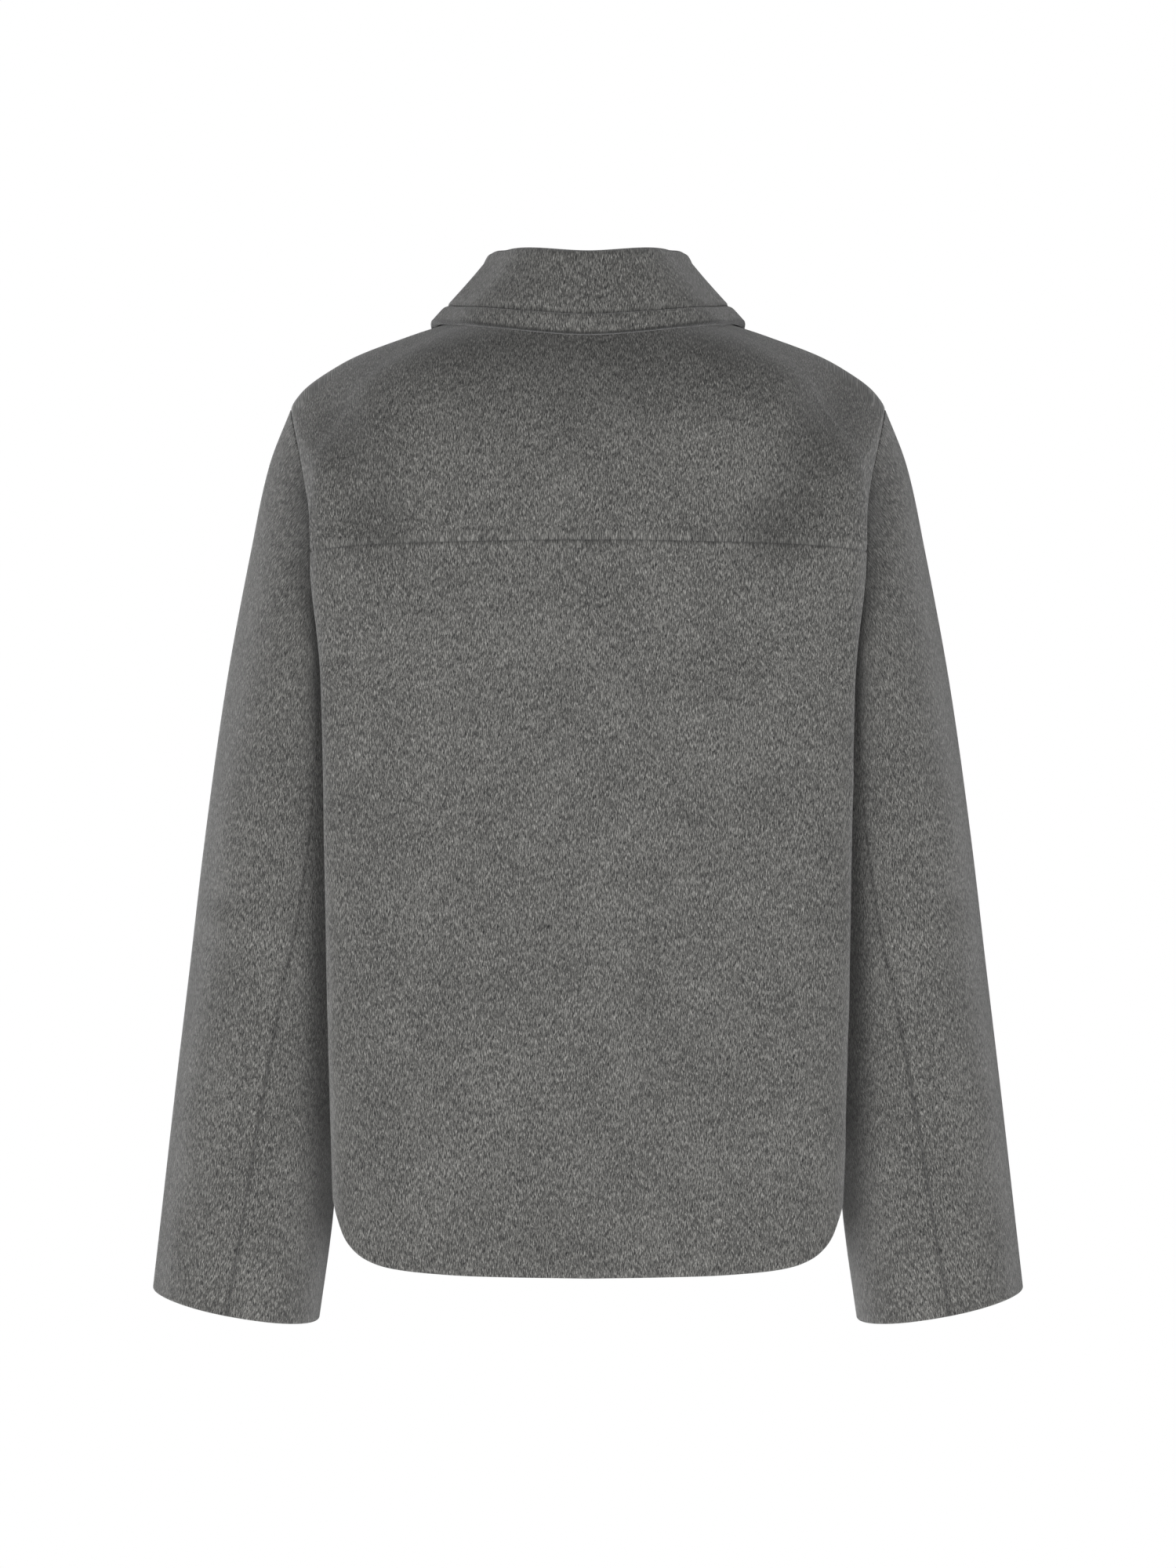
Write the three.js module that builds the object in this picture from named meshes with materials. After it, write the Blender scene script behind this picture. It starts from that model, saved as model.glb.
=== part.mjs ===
// Short wool jacket with a turned-down collar, in the shape it has when worn.
// Millimetres, +Z up. The front faces -Y and +X is the wearer's left.
// The origin is on the neck axis, level with the neck seam at the centre back.
import * as THREE from 'three';

// Driving dimensions
const CLOTH = 3;                // double-faced wool
const COLLAR_CLOTH = 4;         // two layers of the same wool, pressed
const STAND_CLOTH = 3.5;
const SEAM_GAP = 0.3;           // between two pieces at a seam
const SLEEVE_GAP = 0.8;         // sleeve head to armhole edge, across the corner
const HEM_BACK = 643;           // depth of the hem below the neck seam
const LAP = 18;                 // each front runs this far past the centre
const LAP_RUNOUT = 20;          // width over which the lower front dips under the upper one
const LAP_COVER = 14;           // the dip is full this far before the upper front's edge
const LAP_GAP = 0.8;            // between the two fronts where they lap
const BUTTON = { radius: 11, thick: 4, sides: 18 };
const BUTTON_HOLES = { count: 4, radius: 1.1, out: 3, sides: 6 };
const BUTTONS = table('z seat', [[-128, 0.8], [-232, 0.4], [-336, 0.4], [-440, 0.4], [-544, 0.4]]);

// Places on the half section of the torso, from 0 at the centre back to 1 at the centre front
const FOLD = 0.38;
const SIDE = 0.5;
const CHEST = 0.62;
const KNOTS = [0, FOLD, SIDE, CHEST, 1];
const CENTRE_RUN = 1.25;        // how straight a section runs through its two centres
const TURN = { outer: 60, inner: 40 };   // length of a fold's turn towards its centre and towards the side

// Torso sections from the neck seam down. A row is one line round half the body, through
// the centre back, the back fold, the side, the chest fold and the centre front.
// square says how far the two folds are turned, from 0 to 1.
const TORSO = table(
  'at backY backZ foldX foldY foldZ sideX sideY sideZ chestX chestY chestZ frontY frontZ square',
  [
    [0, 58, 0, 63, 25, 1, 72, -3, 0, 60, -37, -28, -68, -75, 0],
    [22, 79, -30, 110, 45, -18, 122, -4, -15, 104, -52, -42, -88, -104, 0],
    [44, 95, -72, 154, 62, -51, 166, -5, -32, 146, -62, -72, -106, -136, 0.2],
    [66, 103, -114, 183.5, 72, -100.5, 201, -6, -62, 174, -68, -112, -120, -168, 0.4],
    [157, 106, -153, 186, 78, -160, 201, -4, -172, 176, -68, -165, -133, -205, 0.7],
    [248, 107, -248, 178, 82, -248, 151, 0, -248, 166, -70, -248, -140, -248, 1],
    [340, 108, -340, 176, 83, -340, 149, 2, -340, 164, -70, -340, -139, -340, 1],
    [450, 110, -450, 174, 84, -450, 149, 2, -450, 162, -68, -450, -137, -450, 1],
    [560, 112, -560, 171, 85, -560, 149, 2, -560, 160, -66, -560, -135, -560, 1],
    [660, 113, -660, 168, 86, -660, 149, 2, -660, 158, -64, -660, -133, -660, 1],
  ],
);

// Shirt-tail hem: its rise above the centre back along the half section
const HEM = table(
  'place rise',
  [
    [0, 0], [0.12, 1.2], [0.2, 4], [0.24, 7], [0.275, 12.5], [0.3, 19], [0.32, 26], [0.345, 38],
    [0.39, 54], [0.44, 64], [0.5, 68], [0.56, 60], [0.64, 36], [0.74, 14], [0.86, 6], [1, 6],
  ],
);

// Armhole: an oval in places and depths on the torso. Its points start at the shoulder,
// go down the back to the underarm and come up the front.
const ARMHOLE = { at: 157, halfWide: SIDE - FOLD, halfDeep: 91, roundness: 2.3, upper: 6, lower: 10 };
const ARMHOLE_POINTS = 2 * (ARMHOLE.upper + ARMHOLE.lower);
const UNDERARM = ARMHOLE_POINTS / 2;
const YOKE_END = ARMHOLE_POINTS - 2;      // armhole point of the forward shoulder seam
const YOKE_END_AT_NECK = 0.57;            // and its place on the neck seam

// Sleeve: level sections, an oval between four sides each
const SLEEVE = table(
  'z outer inner back front',
  [
    [-61, 200, 150, 62, -60],
    [-102, 215.5, 150, 66, -62],
    [-156, 227, 151, 68, -66],
    [-250, 244.5, 154.5, 66, -72],
    [-356, 259.5, 157.5, 58, -78],
    [-440, 269.5, 161.5, 50, -80],
    [-523, 279.5, 166, 42, -80],
    [-606, 289, 172.5, 34, -79],
    [-680, 297.5, 182.5, 28, -77],
  ],
);
const CUFF = { middle: -667, rise: { outward: 0.18, backward: -0.125 } };
const HEAD_EASE = 38;           // length over which the sleeve head settles to its level sections
const SLEEVE_ROWS = 15;
const ROW_BIAS = 1.3;           // rows lie closer at the sleeve head
const BACK_SEAM = { point: 11 };
const FRONT_SEAM = { point: 21, angle: 232 };
const BACK_SEAM_ANGLES = table(
  'z angle',
  [[-672, 86], [-590, 90], [-460, 102], [-400, 111], [-230, 122]],
);

// Collar: the top line of the stand, and the fall's edge as it lies on the torso
const STAND_TOP = {
  backY: 50, backZ: 33, foldX: 48, foldY: 21, foldZ: 35, sideX: 56, sideY: -4, sideZ: 33,
  chestX: 49, chestY: -34, chestZ: 4, frontY: -62, frontZ: -48, square: 0,
};
const COLLAR_END = 0.985;       // stand and fall stop just beside the centre front
const ROLL = { rise: 3, radius: 5, steps: 4 };
const FALL = { offCloth: 1.2, belly: -1.5 };
const FALL_EDGE = table(
  'place torsoPlace depth',
  [
    [0, 0, 10.5],
    [0.2, 0.2, 10.5],
    [0.38, 0.38, 12],
    [0.5, 0.5, 14],
    [0.62, 0.61, 16],
    [0.8, 0.72, 22],
    [1, 0.84, 30],
  ],
);

// How finely the pieces are divided
const YOKE_SEAM_STEPS = 18;
const YOKE_ROWS = 8;
const SKIRT_ROWS = 8;
const FRONT_COLUMNS = 12;
const SIDE_BIAS = 1.5;         // columns lie closer towards the side of the body
const COLLAR_STEPS = 36;
const STAND_ROWS = 2;
const FALL_ROWS = 4;
const ARC_SAMPLES = 600;
const NORMAL_STEP = { place: 0.002, depth: 0.6 };

const WOOL = { color: 0x666664, roughness: 0.95, metalness: 0 };
const HORN = { color: 0x2e2d2c, roughness: 0.45, metalness: 0 };
const UP = new THREE.Vector3(0, 0, 1);
const ORIGIN = new THREE.Vector2(0, 0);

// Tables, and smooth curves through their rows
function table(names, rows) {
  const keys = names.split(' ');
  return rows.map((row) => Object.fromEntries(keys.map((key, i) => [key, row[i]])));
}

function hermite(from, to, leave, arrive, u) {
  const rest = 1 - u;
  const share = u * u * (3 - 2 * u);
  return from * (1 - share) + to * share + leave * u * rest * rest - arrive * u * u * rest;
}

// A curve through two columns of a table that never overshoots the rows
function curve(rows, across, name) {
  const order = [...rows].sort((a, b) => a[across] - b[across]);
  const x = order.map((row) => row[across]);
  const y = order.map((row) => row[name]);
  const width = x.slice(1).map((value, i) => value - x[i]);
  const slope = width.map((w, i) => (y[i + 1] - y[i]) / w);
  const tangent = x.map((_, i) => {
    if (i === 0) return slope[0];
    if (i === x.length - 1) return slope[i - 1];
    if (slope[i - 1] * slope[i] <= 0) return 0;
    const before = 2 * width[i] + width[i - 1];
    const after = width[i] + 2 * width[i - 1];
    return (before + after) / (before / slope[i - 1] + after / slope[i]);
  });
  return (value) => {
    const at = THREE.MathUtils.clamp(value, x[0], x[x.length - 1]);
    let i = 0;
    while (i < width.length - 1 && at > x[i + 1]) i += 1;
    const leave = tangent[i] * width[i];
    const arrive = tangent[i + 1] * width[i];
    return hermite(y[i], y[i + 1], leave, arrive, (at - x[i]) / width[i]);
  };
}

function curves(rows, across) {
  const names = Object.keys(rows[0]).filter((name) => name !== across);
  const made = Object.fromEntries(names.map((name) => [name, curve(rows, across, name)]));
  return (value) => Object.fromEntries(names.map((name) => [name, made[name](value)]));
}

const lerp = THREE.MathUtils.lerp;
const steps = (count) => Array.from({ length: count + 1 }, (_, i) => i / count);
const acrossBody = (count) => steps(count).map((u) => 1 - (1 - u) ** SIDE_BIAS);

// The half section of one row, as a function of the place on it.
// Places below 0 and above 1 lie on the other half.
function section(row) {
  const points = [
    new THREE.Vector3(0, row.backY, row.backZ),
    new THREE.Vector3(row.foldX, row.foldY, row.foldZ),
    new THREE.Vector3(row.sideX, row.sideY, row.sideZ),
    new THREE.Vector3(row.chestX, row.chestY, row.chestZ),
    new THREE.Vector3(0, row.frontY, row.frontZ),
  ];
  const width = KNOTS.slice(1).map((knot, i) => knot - KNOTS[i]);
  const run = width.map((w, i) => points[i + 1].clone().sub(points[i]).divideScalar(w));
  const through = (i) => run[i - 1].clone().multiplyScalar(width[i])
    .addScaledVector(run[i], width[i - 1]).divideScalar(width[i - 1] + width[i]);
  const turned = (i, length, w) => through(i).lerp(new THREE.Vector3(0, -length / w, 0), row.square);
  const leave = [
    new THREE.Vector3(CENTRE_RUN * row.foldX / width[0], 0, 0),
    turned(1, TURN.inner, width[1]),
    through(2),
    turned(3, TURN.outer, width[3]),
  ];
  const arrive = [
    turned(1, TURN.outer, width[0]),
    through(2),
    turned(3, TURN.inner, width[2]),
    new THREE.Vector3(-CENTRE_RUN * row.chestX / width[3], 0, 0),
  ];
  return (place) => {
    const half = place < 0 || place > 1 ? -1 : 1;
    const at = place < 0 ? -place : place > 1 ? 2 - place : place;
    let i = 0;
    while (i < width.length - 1 && at > KNOTS[i + 1]) i += 1;
    const u = (at - KNOTS[i]) / width[i];
    const value = (axis) => hermite(points[i][axis], points[i + 1][axis],
      leave[i][axis] * width[i], arrive[i][axis] * width[i], u);
    return new THREE.Vector3(half * value('x'), value('y'), value('z'));
  };
}

// The outer face of the torso by place and depth, and its outward normal
const torsoRow = curves(TORSO, 'at');

function torso(place, depth) {
  return section(torsoRow(depth))(place);
}

function torsoNormal(place, depth) {
  const low = Math.max(depth - NORMAL_STEP.depth, 0);
  const along = torso(place + NORMAL_STEP.place, depth).sub(torso(place - NORMAL_STEP.place, depth));
  const down = torso(place, depth + NORMAL_STEP.depth).sub(torso(place, low));
  return along.cross(down).normalize();
}

const hemRise = curve(HEM, 'place', 'rise');
const hemDepth = (place) => HEM_BACK - hemRise(place > 1 ? 2 - place : place);

// The armhole's points, evenly spaced by length in each quarter
function armholeAt(angle) {
  const power = 2 / ARMHOLE.roundness;
  const wide = Math.sign(Math.sin(angle)) * Math.abs(Math.sin(angle)) ** power;
  const deep = Math.sign(Math.cos(angle)) * Math.abs(Math.cos(angle)) ** power;
  return { place: SIDE - ARMHOLE.halfWide * wide, depth: ARMHOLE.at - ARMHOLE.halfDeep * deep };
}

function quarter(from, to, count) {
  const angles = steps(ARC_SAMPLES).map((u) => lerp(from, to, u));
  const points = angles.map(armholeAt).map(({ place, depth }) => torso(place, depth));
  const lengths = [0];
  points.slice(1).forEach((point, i) => lengths.push(lengths[i] + point.distanceTo(points[i])));
  const total = lengths[lengths.length - 1];
  return Array.from({ length: count }, (_, k) => {
    const i = lengths.findIndex((length) => length >= total * k / count);
    return armholeAt(angles[i]);
  });
}

const RIGHT_ANGLE = Math.PI / 2;
const armhole = [
  ...quarter(0, RIGHT_ANGLE, ARMHOLE.upper),
  ...quarter(RIGHT_ANGLE, 2 * RIGHT_ANGLE, ARMHOLE.lower),
  ...quarter(2 * RIGHT_ANGLE, 3 * RIGHT_ANGLE, ARMHOLE.lower),
  ...quarter(3 * RIGHT_ANGLE, 4 * RIGHT_ANGLE, ARMHOLE.upper),
];

// A closed wall from a grid of outer points and a grid of inner points.
// Quads before the turning column are split the other way, so that both halves match.
function wall(outer, inner, turning = 0) {
  const rows = outer.length;
  const cols = outer[0].length;
  const position = [...outer.flat(), ...inner.flat()].flatMap((point) => point.toArray());
  const out = (j, i) => j * cols + i;
  const into = (j, i) => rows * cols + j * cols + i;
  const index = [];
  const quad = (a, b, c, d) => index.push(a, b, c, a, c, d);
  for (let j = 0; j < rows - 1; j += 1) {
    for (let i = 0; i < cols - 1; i += 1) {
      if (i < turning) {
        quad(out(j, i + 1), out(j + 1, i + 1), out(j + 1, i), out(j, i));
        quad(into(j, i + 1), into(j, i), into(j + 1, i), into(j + 1, i + 1));
      } else {
        quad(out(j, i), out(j, i + 1), out(j + 1, i + 1), out(j + 1, i));
        quad(into(j, i), into(j + 1, i), into(j + 1, i + 1), into(j, i + 1));
      }
    }
    quad(out(j + 1, 0), into(j + 1, 0), into(j, 0), out(j, 0));
    quad(out(j + 1, cols - 1), out(j, cols - 1), into(j, cols - 1), into(j + 1, cols - 1));
  }
  for (let i = 0; i < cols - 1; i += 1) {
    quad(out(0, i), into(0, i), into(0, i + 1), out(0, i + 1));
    quad(out(rows - 1, i), out(rows - 1, i + 1), into(rows - 1, i + 1), into(rows - 1, i));
  }
  const geometry = new THREE.BufferGeometry();
  geometry.setAttribute('position', new THREE.Float32BufferAttribute(position, 3));
  geometry.setIndex(volume(position, index) < 0 ? index.reverse() : index);
  geometry.computeVertexNormals();
  return geometry;
}

function volume(position, index) {
  const corner = (k) => new THREE.Vector3().fromArray(position, 3 * index[k]);
  let sum = 0;
  for (let k = 0; k < index.length; k += 3) sum += corner(k).dot(corner(k + 1).cross(corner(k + 2)));
  return sum;
}

// Draws the edge points of a grid in by half a seam gap; a side is left alone by a 0
function drawIn(grid, { top = 1, bottom = 1, left = 1, right = 1 }) {
  const last = grid.length - 1;
  const end = grid[0].length - 1;
  const moved = grid.map((row) => row.map((point) => point.clone()));
  const pull = (point, towards) => {
    const way = towards.clone().sub(point);
    return way.multiplyScalar(SEAM_GAP / 2 / way.length());
  };
  for (let i = 0; i <= end; i += 1) {
    if (top) moved[0][i].add(pull(grid[0][i], grid[1][i]));
    if (bottom) moved[last][i].add(pull(grid[last][i], grid[last - 1][i]));
  }
  for (let j = 0; j <= last; j += 1) {
    if (left) moved[j][0].add(pull(grid[j][0], grid[j][1]));
    if (right) moved[j][end].add(pull(grid[j][end], grid[j][end - 1]));
  }
  return moved;
}

// A torso panel from a grid of places and depths, with an inset for cloth that dips under
function torsoPanel(grid, edges, { inset = () => 0, turning = 0 } = {}) {
  const outer = grid.map((row) => row.map(({ place, depth }) => {
    const point = torso(place, depth);
    return point.addScaledVector(torsoNormal(place, depth), -inset(point.x));
  }));
  const inner = grid.map((row, j) => row.map(({ place, depth }, i) => outer[j][i].clone()
    .addScaledVector(torsoNormal(place, depth), -CLOTH)));
  return wall(drawIn(outer, edges), drawIn(inner, edges), turning);
}

// Fills the inside of a grid from its four sides
function fill(top, bottom, left, right) {
  const rows = left.length - 1;
  const cols = top.length - 1;
  const across = acrossBody(cols);
  const blend = (name, j, i) => {
    const u = across[i];
    const v = (left[j].depth - left[0].depth) / (left[rows].depth - left[0].depth);
    return lerp(left[j][name], right[j][name], u) + lerp(top[i][name], bottom[i][name], v)
      - lerp(lerp(top[0][name], top[cols][name], u), lerp(bottom[0][name], bottom[cols][name], u), v);
  };
  return left.map((_, j) => top.map((__, i) => ({
    place: blend('place', j, i),
    depth: blend('depth', j, i),
  })));
}

// Both halves of a grid that starts at the centre back
function bothHalves(half) {
  return half.map((row) => [
    ...row.slice(1).reverse().map(({ place, depth }) => ({ place: -place, depth })),
    ...row,
  ]);
}

function yoke() {
  const seam = acrossBody(YOKE_SEAM_STEPS).slice(0, -1).map((u) => ({ place: u * FOLD, depth: ARMHOLE.at }));
  const head = [...armhole.slice(0, ARMHOLE.upper + 1).reverse(), ...armhole.slice(YOKE_END).reverse()];
  const edge = [...seam, ...head];
  const half = steps(YOKE_ROWS).map((v) => edge.map(({ place, depth }, i) => ({
    place: lerp(YOKE_END_AT_NECK * i / (edge.length - 1), place, v),
    depth: v * depth,
  })));
  return torsoPanel(bothHalves(half), {}, { turning: edge.length - 1 });
}

// Edge of a panel down the armhole from one of its points, then down the side seam
function sideEdge(from) {
  const points = armhole.slice(Math.min(from, UNDERARM), Math.max(from, UNDERARM) + 1);
  const down = from < UNDERARM ? points : points.reverse();
  const seam = steps(SKIRT_ROWS).slice(1).map((v) => ({
    place: SIDE,
    depth: lerp(armhole[UNDERARM].depth, hemDepth(SIDE), v),
  }));
  return [...down, ...seam];
}

function back() {
  const right = sideEdge(ARMHOLE.upper);
  const underarm = armhole[UNDERARM].depth;
  const left = right.map((_, j) => {
    const armRow = Math.min(j / ARMHOLE.lower, 1);
    const skirtRow = Math.max((j - ARMHOLE.lower) / SKIRT_ROWS, 0);
    return { place: 0, depth: lerp(lerp(ARMHOLE.at, underarm, armRow), hemDepth(0), skirtRow) };
  });
  const across = acrossBody(YOKE_SEAM_STEPS);
  const top = across.map((u) => ({ place: u * FOLD, depth: ARMHOLE.at }));
  const bottom = across.map((u) => ({ place: u * SIDE, depth: hemDepth(u * SIDE) }));
  const grid = bothHalves(fill(top, bottom, left, right));
  return torsoPanel(grid, { bottom: 0 }, { turning: YOKE_SEAM_STEPS });
}

// Place of a front's edge, a lap past the centre at this depth
function lapPlace(depth) {
  return 1 + LAP * (1 - CHEST) / (CENTRE_RUN * torsoRow(depth).chestX);
}

// A front from its centre to the side, with a last strip for the lap
function front(inset) {
  const yokeSeam = steps(YOKE_ROWS).map((v) => ({
    place: lerp(YOKE_END_AT_NECK, armhole[YOKE_END].place, v),
    depth: v * armhole[YOKE_END].depth,
  }));
  const right = [...yokeSeam.slice(0, -1), ...sideEdge(YOKE_END)];
  const left = right.map(({ depth }, j) => ({
    place: 1,
    depth: depth * hemDepth(1) / lerp(hemDepth(1), hemDepth(SIDE), j / (right.length - 1)),
  }));
  const across = acrossBody(FRONT_COLUMNS);
  const top = across.map((u) => ({ place: lerp(1, YOKE_END_AT_NECK, u), depth: 0 }));
  const bottom = across.map((u) => lerp(1, SIDE, u))
    .map((place) => ({ place, depth: hemDepth(place) }));
  const grid = fill(top, bottom, left, right)
    .map((row) => [{ place: lapPlace(row[0].depth), depth: row[0].depth }, ...row]);
  return torsoPanel(grid, { bottom: 0, left: 0 }, { inset });
}

// The lower front lies a cloth deeper where the upper one covers it
function underLap(x) {
  const u = THREE.MathUtils.clamp((LAP + LAP_COVER + LAP_RUNOUT - x) / LAP_RUNOUT, 0, 1);
  return (CLOTH + LAP_GAP) * u * u * (3 - 2 * u);
}

// Sleeves
const sleeveRow = curves(SLEEVE, 'z');
const backSeamAngle = curve(BACK_SEAM_ANGLES, 'z', 'angle');

function sleeveSection(degrees, z) {
  const row = sleeveRow(z);
  const angle = THREE.MathUtils.degToRad(degrees);
  const x = lerp(row.inner, row.outer, (1 + Math.cos(angle)) / 2);
  return new THREE.Vector3(x, lerp(row.front, row.back, (1 + Math.sin(angle)) / 2), z);
}

// Angle round the sleeve of one of its lines at a height; the seams keep their own angles
function sleeveAngle(line, z) {
  const backAngle = backSeamAngle(z);
  if (line <= BACK_SEAM.point) return backAngle * line / BACK_SEAM.point;
  if (line <= FRONT_SEAM.point) {
    const u = (line - BACK_SEAM.point) / (FRONT_SEAM.point - BACK_SEAM.point);
    return lerp(backAngle, FRONT_SEAM.angle, u);
  }
  return lerp(FRONT_SEAM.angle, 360, (line - FRONT_SEAM.point) / (ARMHOLE_POINTS - FRONT_SEAM.point));
}

// Where each line of the sleeve starts, just clear of the torso's armhole edge
function sleeveHead() {
  return armhole.map(({ place, depth }, k) => {
    const point = torso(place, depth);
    const normal = torsoNormal(place, depth);
    const next = armhole[(k + 1) % ARMHOLE_POINTS];
    const previous = armhole[(k + ARMHOLE_POINTS - 1) % ARMHOLE_POINTS];
    const along = torso(next.place, next.depth).sub(torso(previous.place, previous.depth));
    const intoHole = along.cross(normal).normalize();
    return point.addScaledVector(normal.add(intoHole).normalize(), SLEEVE_GAP);
  });
}

function cuffHeight(line) {
  const angle = sleeveAngle(line, CUFF.middle);
  const point = sleeveSection(angle, CUFF.middle);
  const middle = sleeveSection(0, CUFF.middle).add(sleeveSection(180, CUFF.middle)).multiplyScalar(0.5);
  const across = point.sub(middle);
  return CUFF.middle + CUFF.rise.outward * across.x + CUFF.rise.backward * across.y;
}

function sleeveGrid() {
  const head = sleeveHead();
  return steps(SLEEVE_ROWS).map((v) => head.map((start, line) => {
    const z = lerp(start.z, cuffHeight(line), v ** ROW_BIAS);
    const level = sleeveSection(sleeveAngle(line, z), z);
    const offset = start.clone().sub(sleeveSection(sleeveAngle(line, start.z), start.z));
    return level.addScaledVector(offset, Math.exp((z - start.z) / HEAD_EASE));
  }));
}

// Normals of a grid that closes on itself sideways
function ringNormals(grid) {
  const count = grid[0].length;
  return grid.map((row, j) => row.map((_, i) => {
    const along = row[(i + 1) % count].clone().sub(row[(i + count - 1) % count]);
    const above = grid[Math.max(j - 1, 0)][i];
    const below = grid[Math.min(j + 1, grid.length - 1)][i];
    return below.clone().sub(above).cross(along).normalize();
  }));
}

function sleevePiece(from, to) {
  const grid = sleeveGrid();
  const normals = ringNormals(grid);
  const lines = Array.from({ length: to - from + 1 }, (_, i) => (from + i) % ARMHOLE_POINTS);
  const outer = grid.map((row) => lines.map((line) => row[line]));
  const inner = grid.map((row, j) => lines.map((line) => row[line].clone()
    .addScaledVector(normals[j][line], -CLOTH)));
  const edges = { top: 0, bottom: 0 };
  return wall(drawIn(outer, edges), drawIn(inner, edges));
}

// Collar
const collarPlaces = steps(COLLAR_STEPS).map((u) => lerp(-COLLAR_END, COLLAR_END, u));
const standTop = section(STAND_TOP);

// Directions across a collar line: out from the neck, and up square to the line
function collarFrame(line, place) {
  const along = line(place + NORMAL_STEP.place).sub(line(place - NORMAL_STEP.place)).normalize();
  const out = UP.clone().cross(along).normalize();
  return { out, up: along.cross(out).normalize() };
}

function standFoot(place) {
  const { out } = collarFrame((at) => torso(at, 0), place);
  return torso(place, 0).addScaledVector(UP, SEAM_GAP).addScaledVector(out, -STAND_CLOTH / 2);
}

function stand() {
  const centre = steps(STAND_ROWS)
    .map((v) => collarPlaces.map((place) => standFoot(place).lerp(standTop(place), v)));
  return thicken(centre, STAND_CLOTH);
}

function fallEdge(place) {
  const row = curves(FALL_EDGE, 'place')(Math.abs(place) / COLLAR_END);
  const torsoPlace = Math.sign(place) * row.torsoPlace;
  const lift = FALL.offCloth + COLLAR_CLOTH / 2;
  return torso(torsoPlace, row.depth).addScaledVector(torsoNormal(torsoPlace, row.depth), lift);
}

function fall() {
  const lines = collarPlaces.map((place) => {
    const { out, up } = collarFrame(standTop, place);
    const top = standTop(place);
    const lean = top.clone().sub(standFoot(place)).normalize();
    const start = top.clone().addScaledVector(lean, SEAM_GAP);
    const middle = top.clone().addScaledVector(lean, ROLL.rise).addScaledVector(out, ROLL.radius);
    const roll = steps(ROLL.steps).map((u) => middle.clone()
      .addScaledVector(out, -ROLL.radius * Math.cos(Math.PI * u))
      .addScaledVector(up, ROLL.radius * Math.sin(Math.PI * u)));
    const edge = fallEdge(place);
    const from = roll[roll.length - 1];
    const down = steps(FALL_ROWS).slice(1).map((u) => from.clone().lerp(edge, u)
      .addScaledVector(out, FALL.belly * Math.sin(Math.PI * u) * (1 - u)));
    return [start, ...roll, ...down];
  });
  const centre = lines[0].map((_, j) => lines.map((line) => line[j]));
  return thicken(centre, COLLAR_CLOTH);
}

// A wall of even thickness about a grid of middle points
function thicken(centre, thickness) {
  const rows = centre.length - 1;
  const cols = centre[0].length - 1;
  const normals = centre.map((row, j) => row.map((_, i) => {
    const along = row[Math.min(i + 1, cols)].clone().sub(row[Math.max(i - 1, 0)]);
    const across = centre[Math.min(j + 1, rows)][i].clone().sub(centre[Math.max(j - 1, 0)][i]);
    return along.cross(across).normalize();
  }));
  const shifted = (distance) => centre.map((row, j) => row.map((point, i) => point.clone()
    .addScaledVector(normals[j][i], distance)));
  return wall(shifted(thickness / 2), shifted(-thickness / 2));
}

// Buttons, evenly divided discs with four holes
function circle(radius, sides) {
  return steps(sides).slice(1).map((u) => new THREE.Vector2(radius, 0).rotateAround(ORIGIN, 2 * Math.PI * u));
}

function button() {
  const disc = new THREE.Shape(circle(BUTTON.radius, BUTTON.sides));
  disc.holes = circle(BUTTON_HOLES.out, BUTTON_HOLES.count)
    .map((centre) => centre.rotateAround(ORIGIN, Math.PI / BUTTON_HOLES.count))
    .map((centre) => circle(BUTTON_HOLES.radius, BUTTON_HOLES.sides).map((point) => point.add(centre)))
    .map((points) => new THREE.Path(points));
  return new THREE.ExtrudeGeometry(disc, { depth: BUTTON.thick, bevelEnabled: false });
}

const frontDepth = curve(TORSO, 'frontZ', 'at');

function buttonMesh({ z, seat }, number) {
  const depth = frontDepth(z);
  const normal = torsoNormal(1, depth);
  const mesh = piece(`button_${number}`, button(), HORN);
  mesh.quaternion.setFromUnitVectors(UP, normal);
  mesh.position.copy(torso(1, depth)).addScaledVector(normal, seat);
  return mesh;
}

function piece(name, geometry, finish) {
  const mesh = new THREE.Mesh(geometry, new THREE.MeshStandardMaterial(finish));
  mesh.name = name;
  return mesh;
}

// The other side of the body: a geometry mirrored left to right
function mirrored(geometry) {
  const other = geometry.clone().scale(-1, 1, 1);
  other.setIndex([...geometry.index.array].reverse());
  other.computeVertexNormals();
  return other;
}

const jacket = new THREE.Group();
jacket.add(piece('yoke', yoke(), WOOL));
jacket.add(piece('back', back(), WOOL));
jacket.add(piece('front_left', front(underLap), WOOL));
jacket.add(piece('front_right', mirrored(front()), WOOL));

const topSleeve = sleevePiece(FRONT_SEAM.point, ARMHOLE_POINTS + BACK_SEAM.point);
const underSleeve = sleevePiece(BACK_SEAM.point, FRONT_SEAM.point);
jacket.add(piece('sleeve_top_left', topSleeve, WOOL));
jacket.add(piece('sleeve_under_left', underSleeve, WOOL));
jacket.add(piece('sleeve_top_right', mirrored(topSleeve), WOOL));
jacket.add(piece('sleeve_under_right', mirrored(underSleeve), WOOL));

jacket.add(piece('collar_stand', stand(), WOOL));
jacket.add(piece('collar_fall', fall(), WOOL));
BUTTONS.forEach((row, i) => jacket.add(buttonMesh(row, i + 1)));

export default jacket;
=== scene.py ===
"""Short wool jacket with a turned-down collar, seen from the back.

The CAD nodes give the form. Each cloth node is replaced by a finer wall of the same form,
with rounded edges, seams, soft creases and a brushed melange surface.
"""
import math

import bpy
import numpy as np
from mathutils import Matrix, Vector


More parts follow.
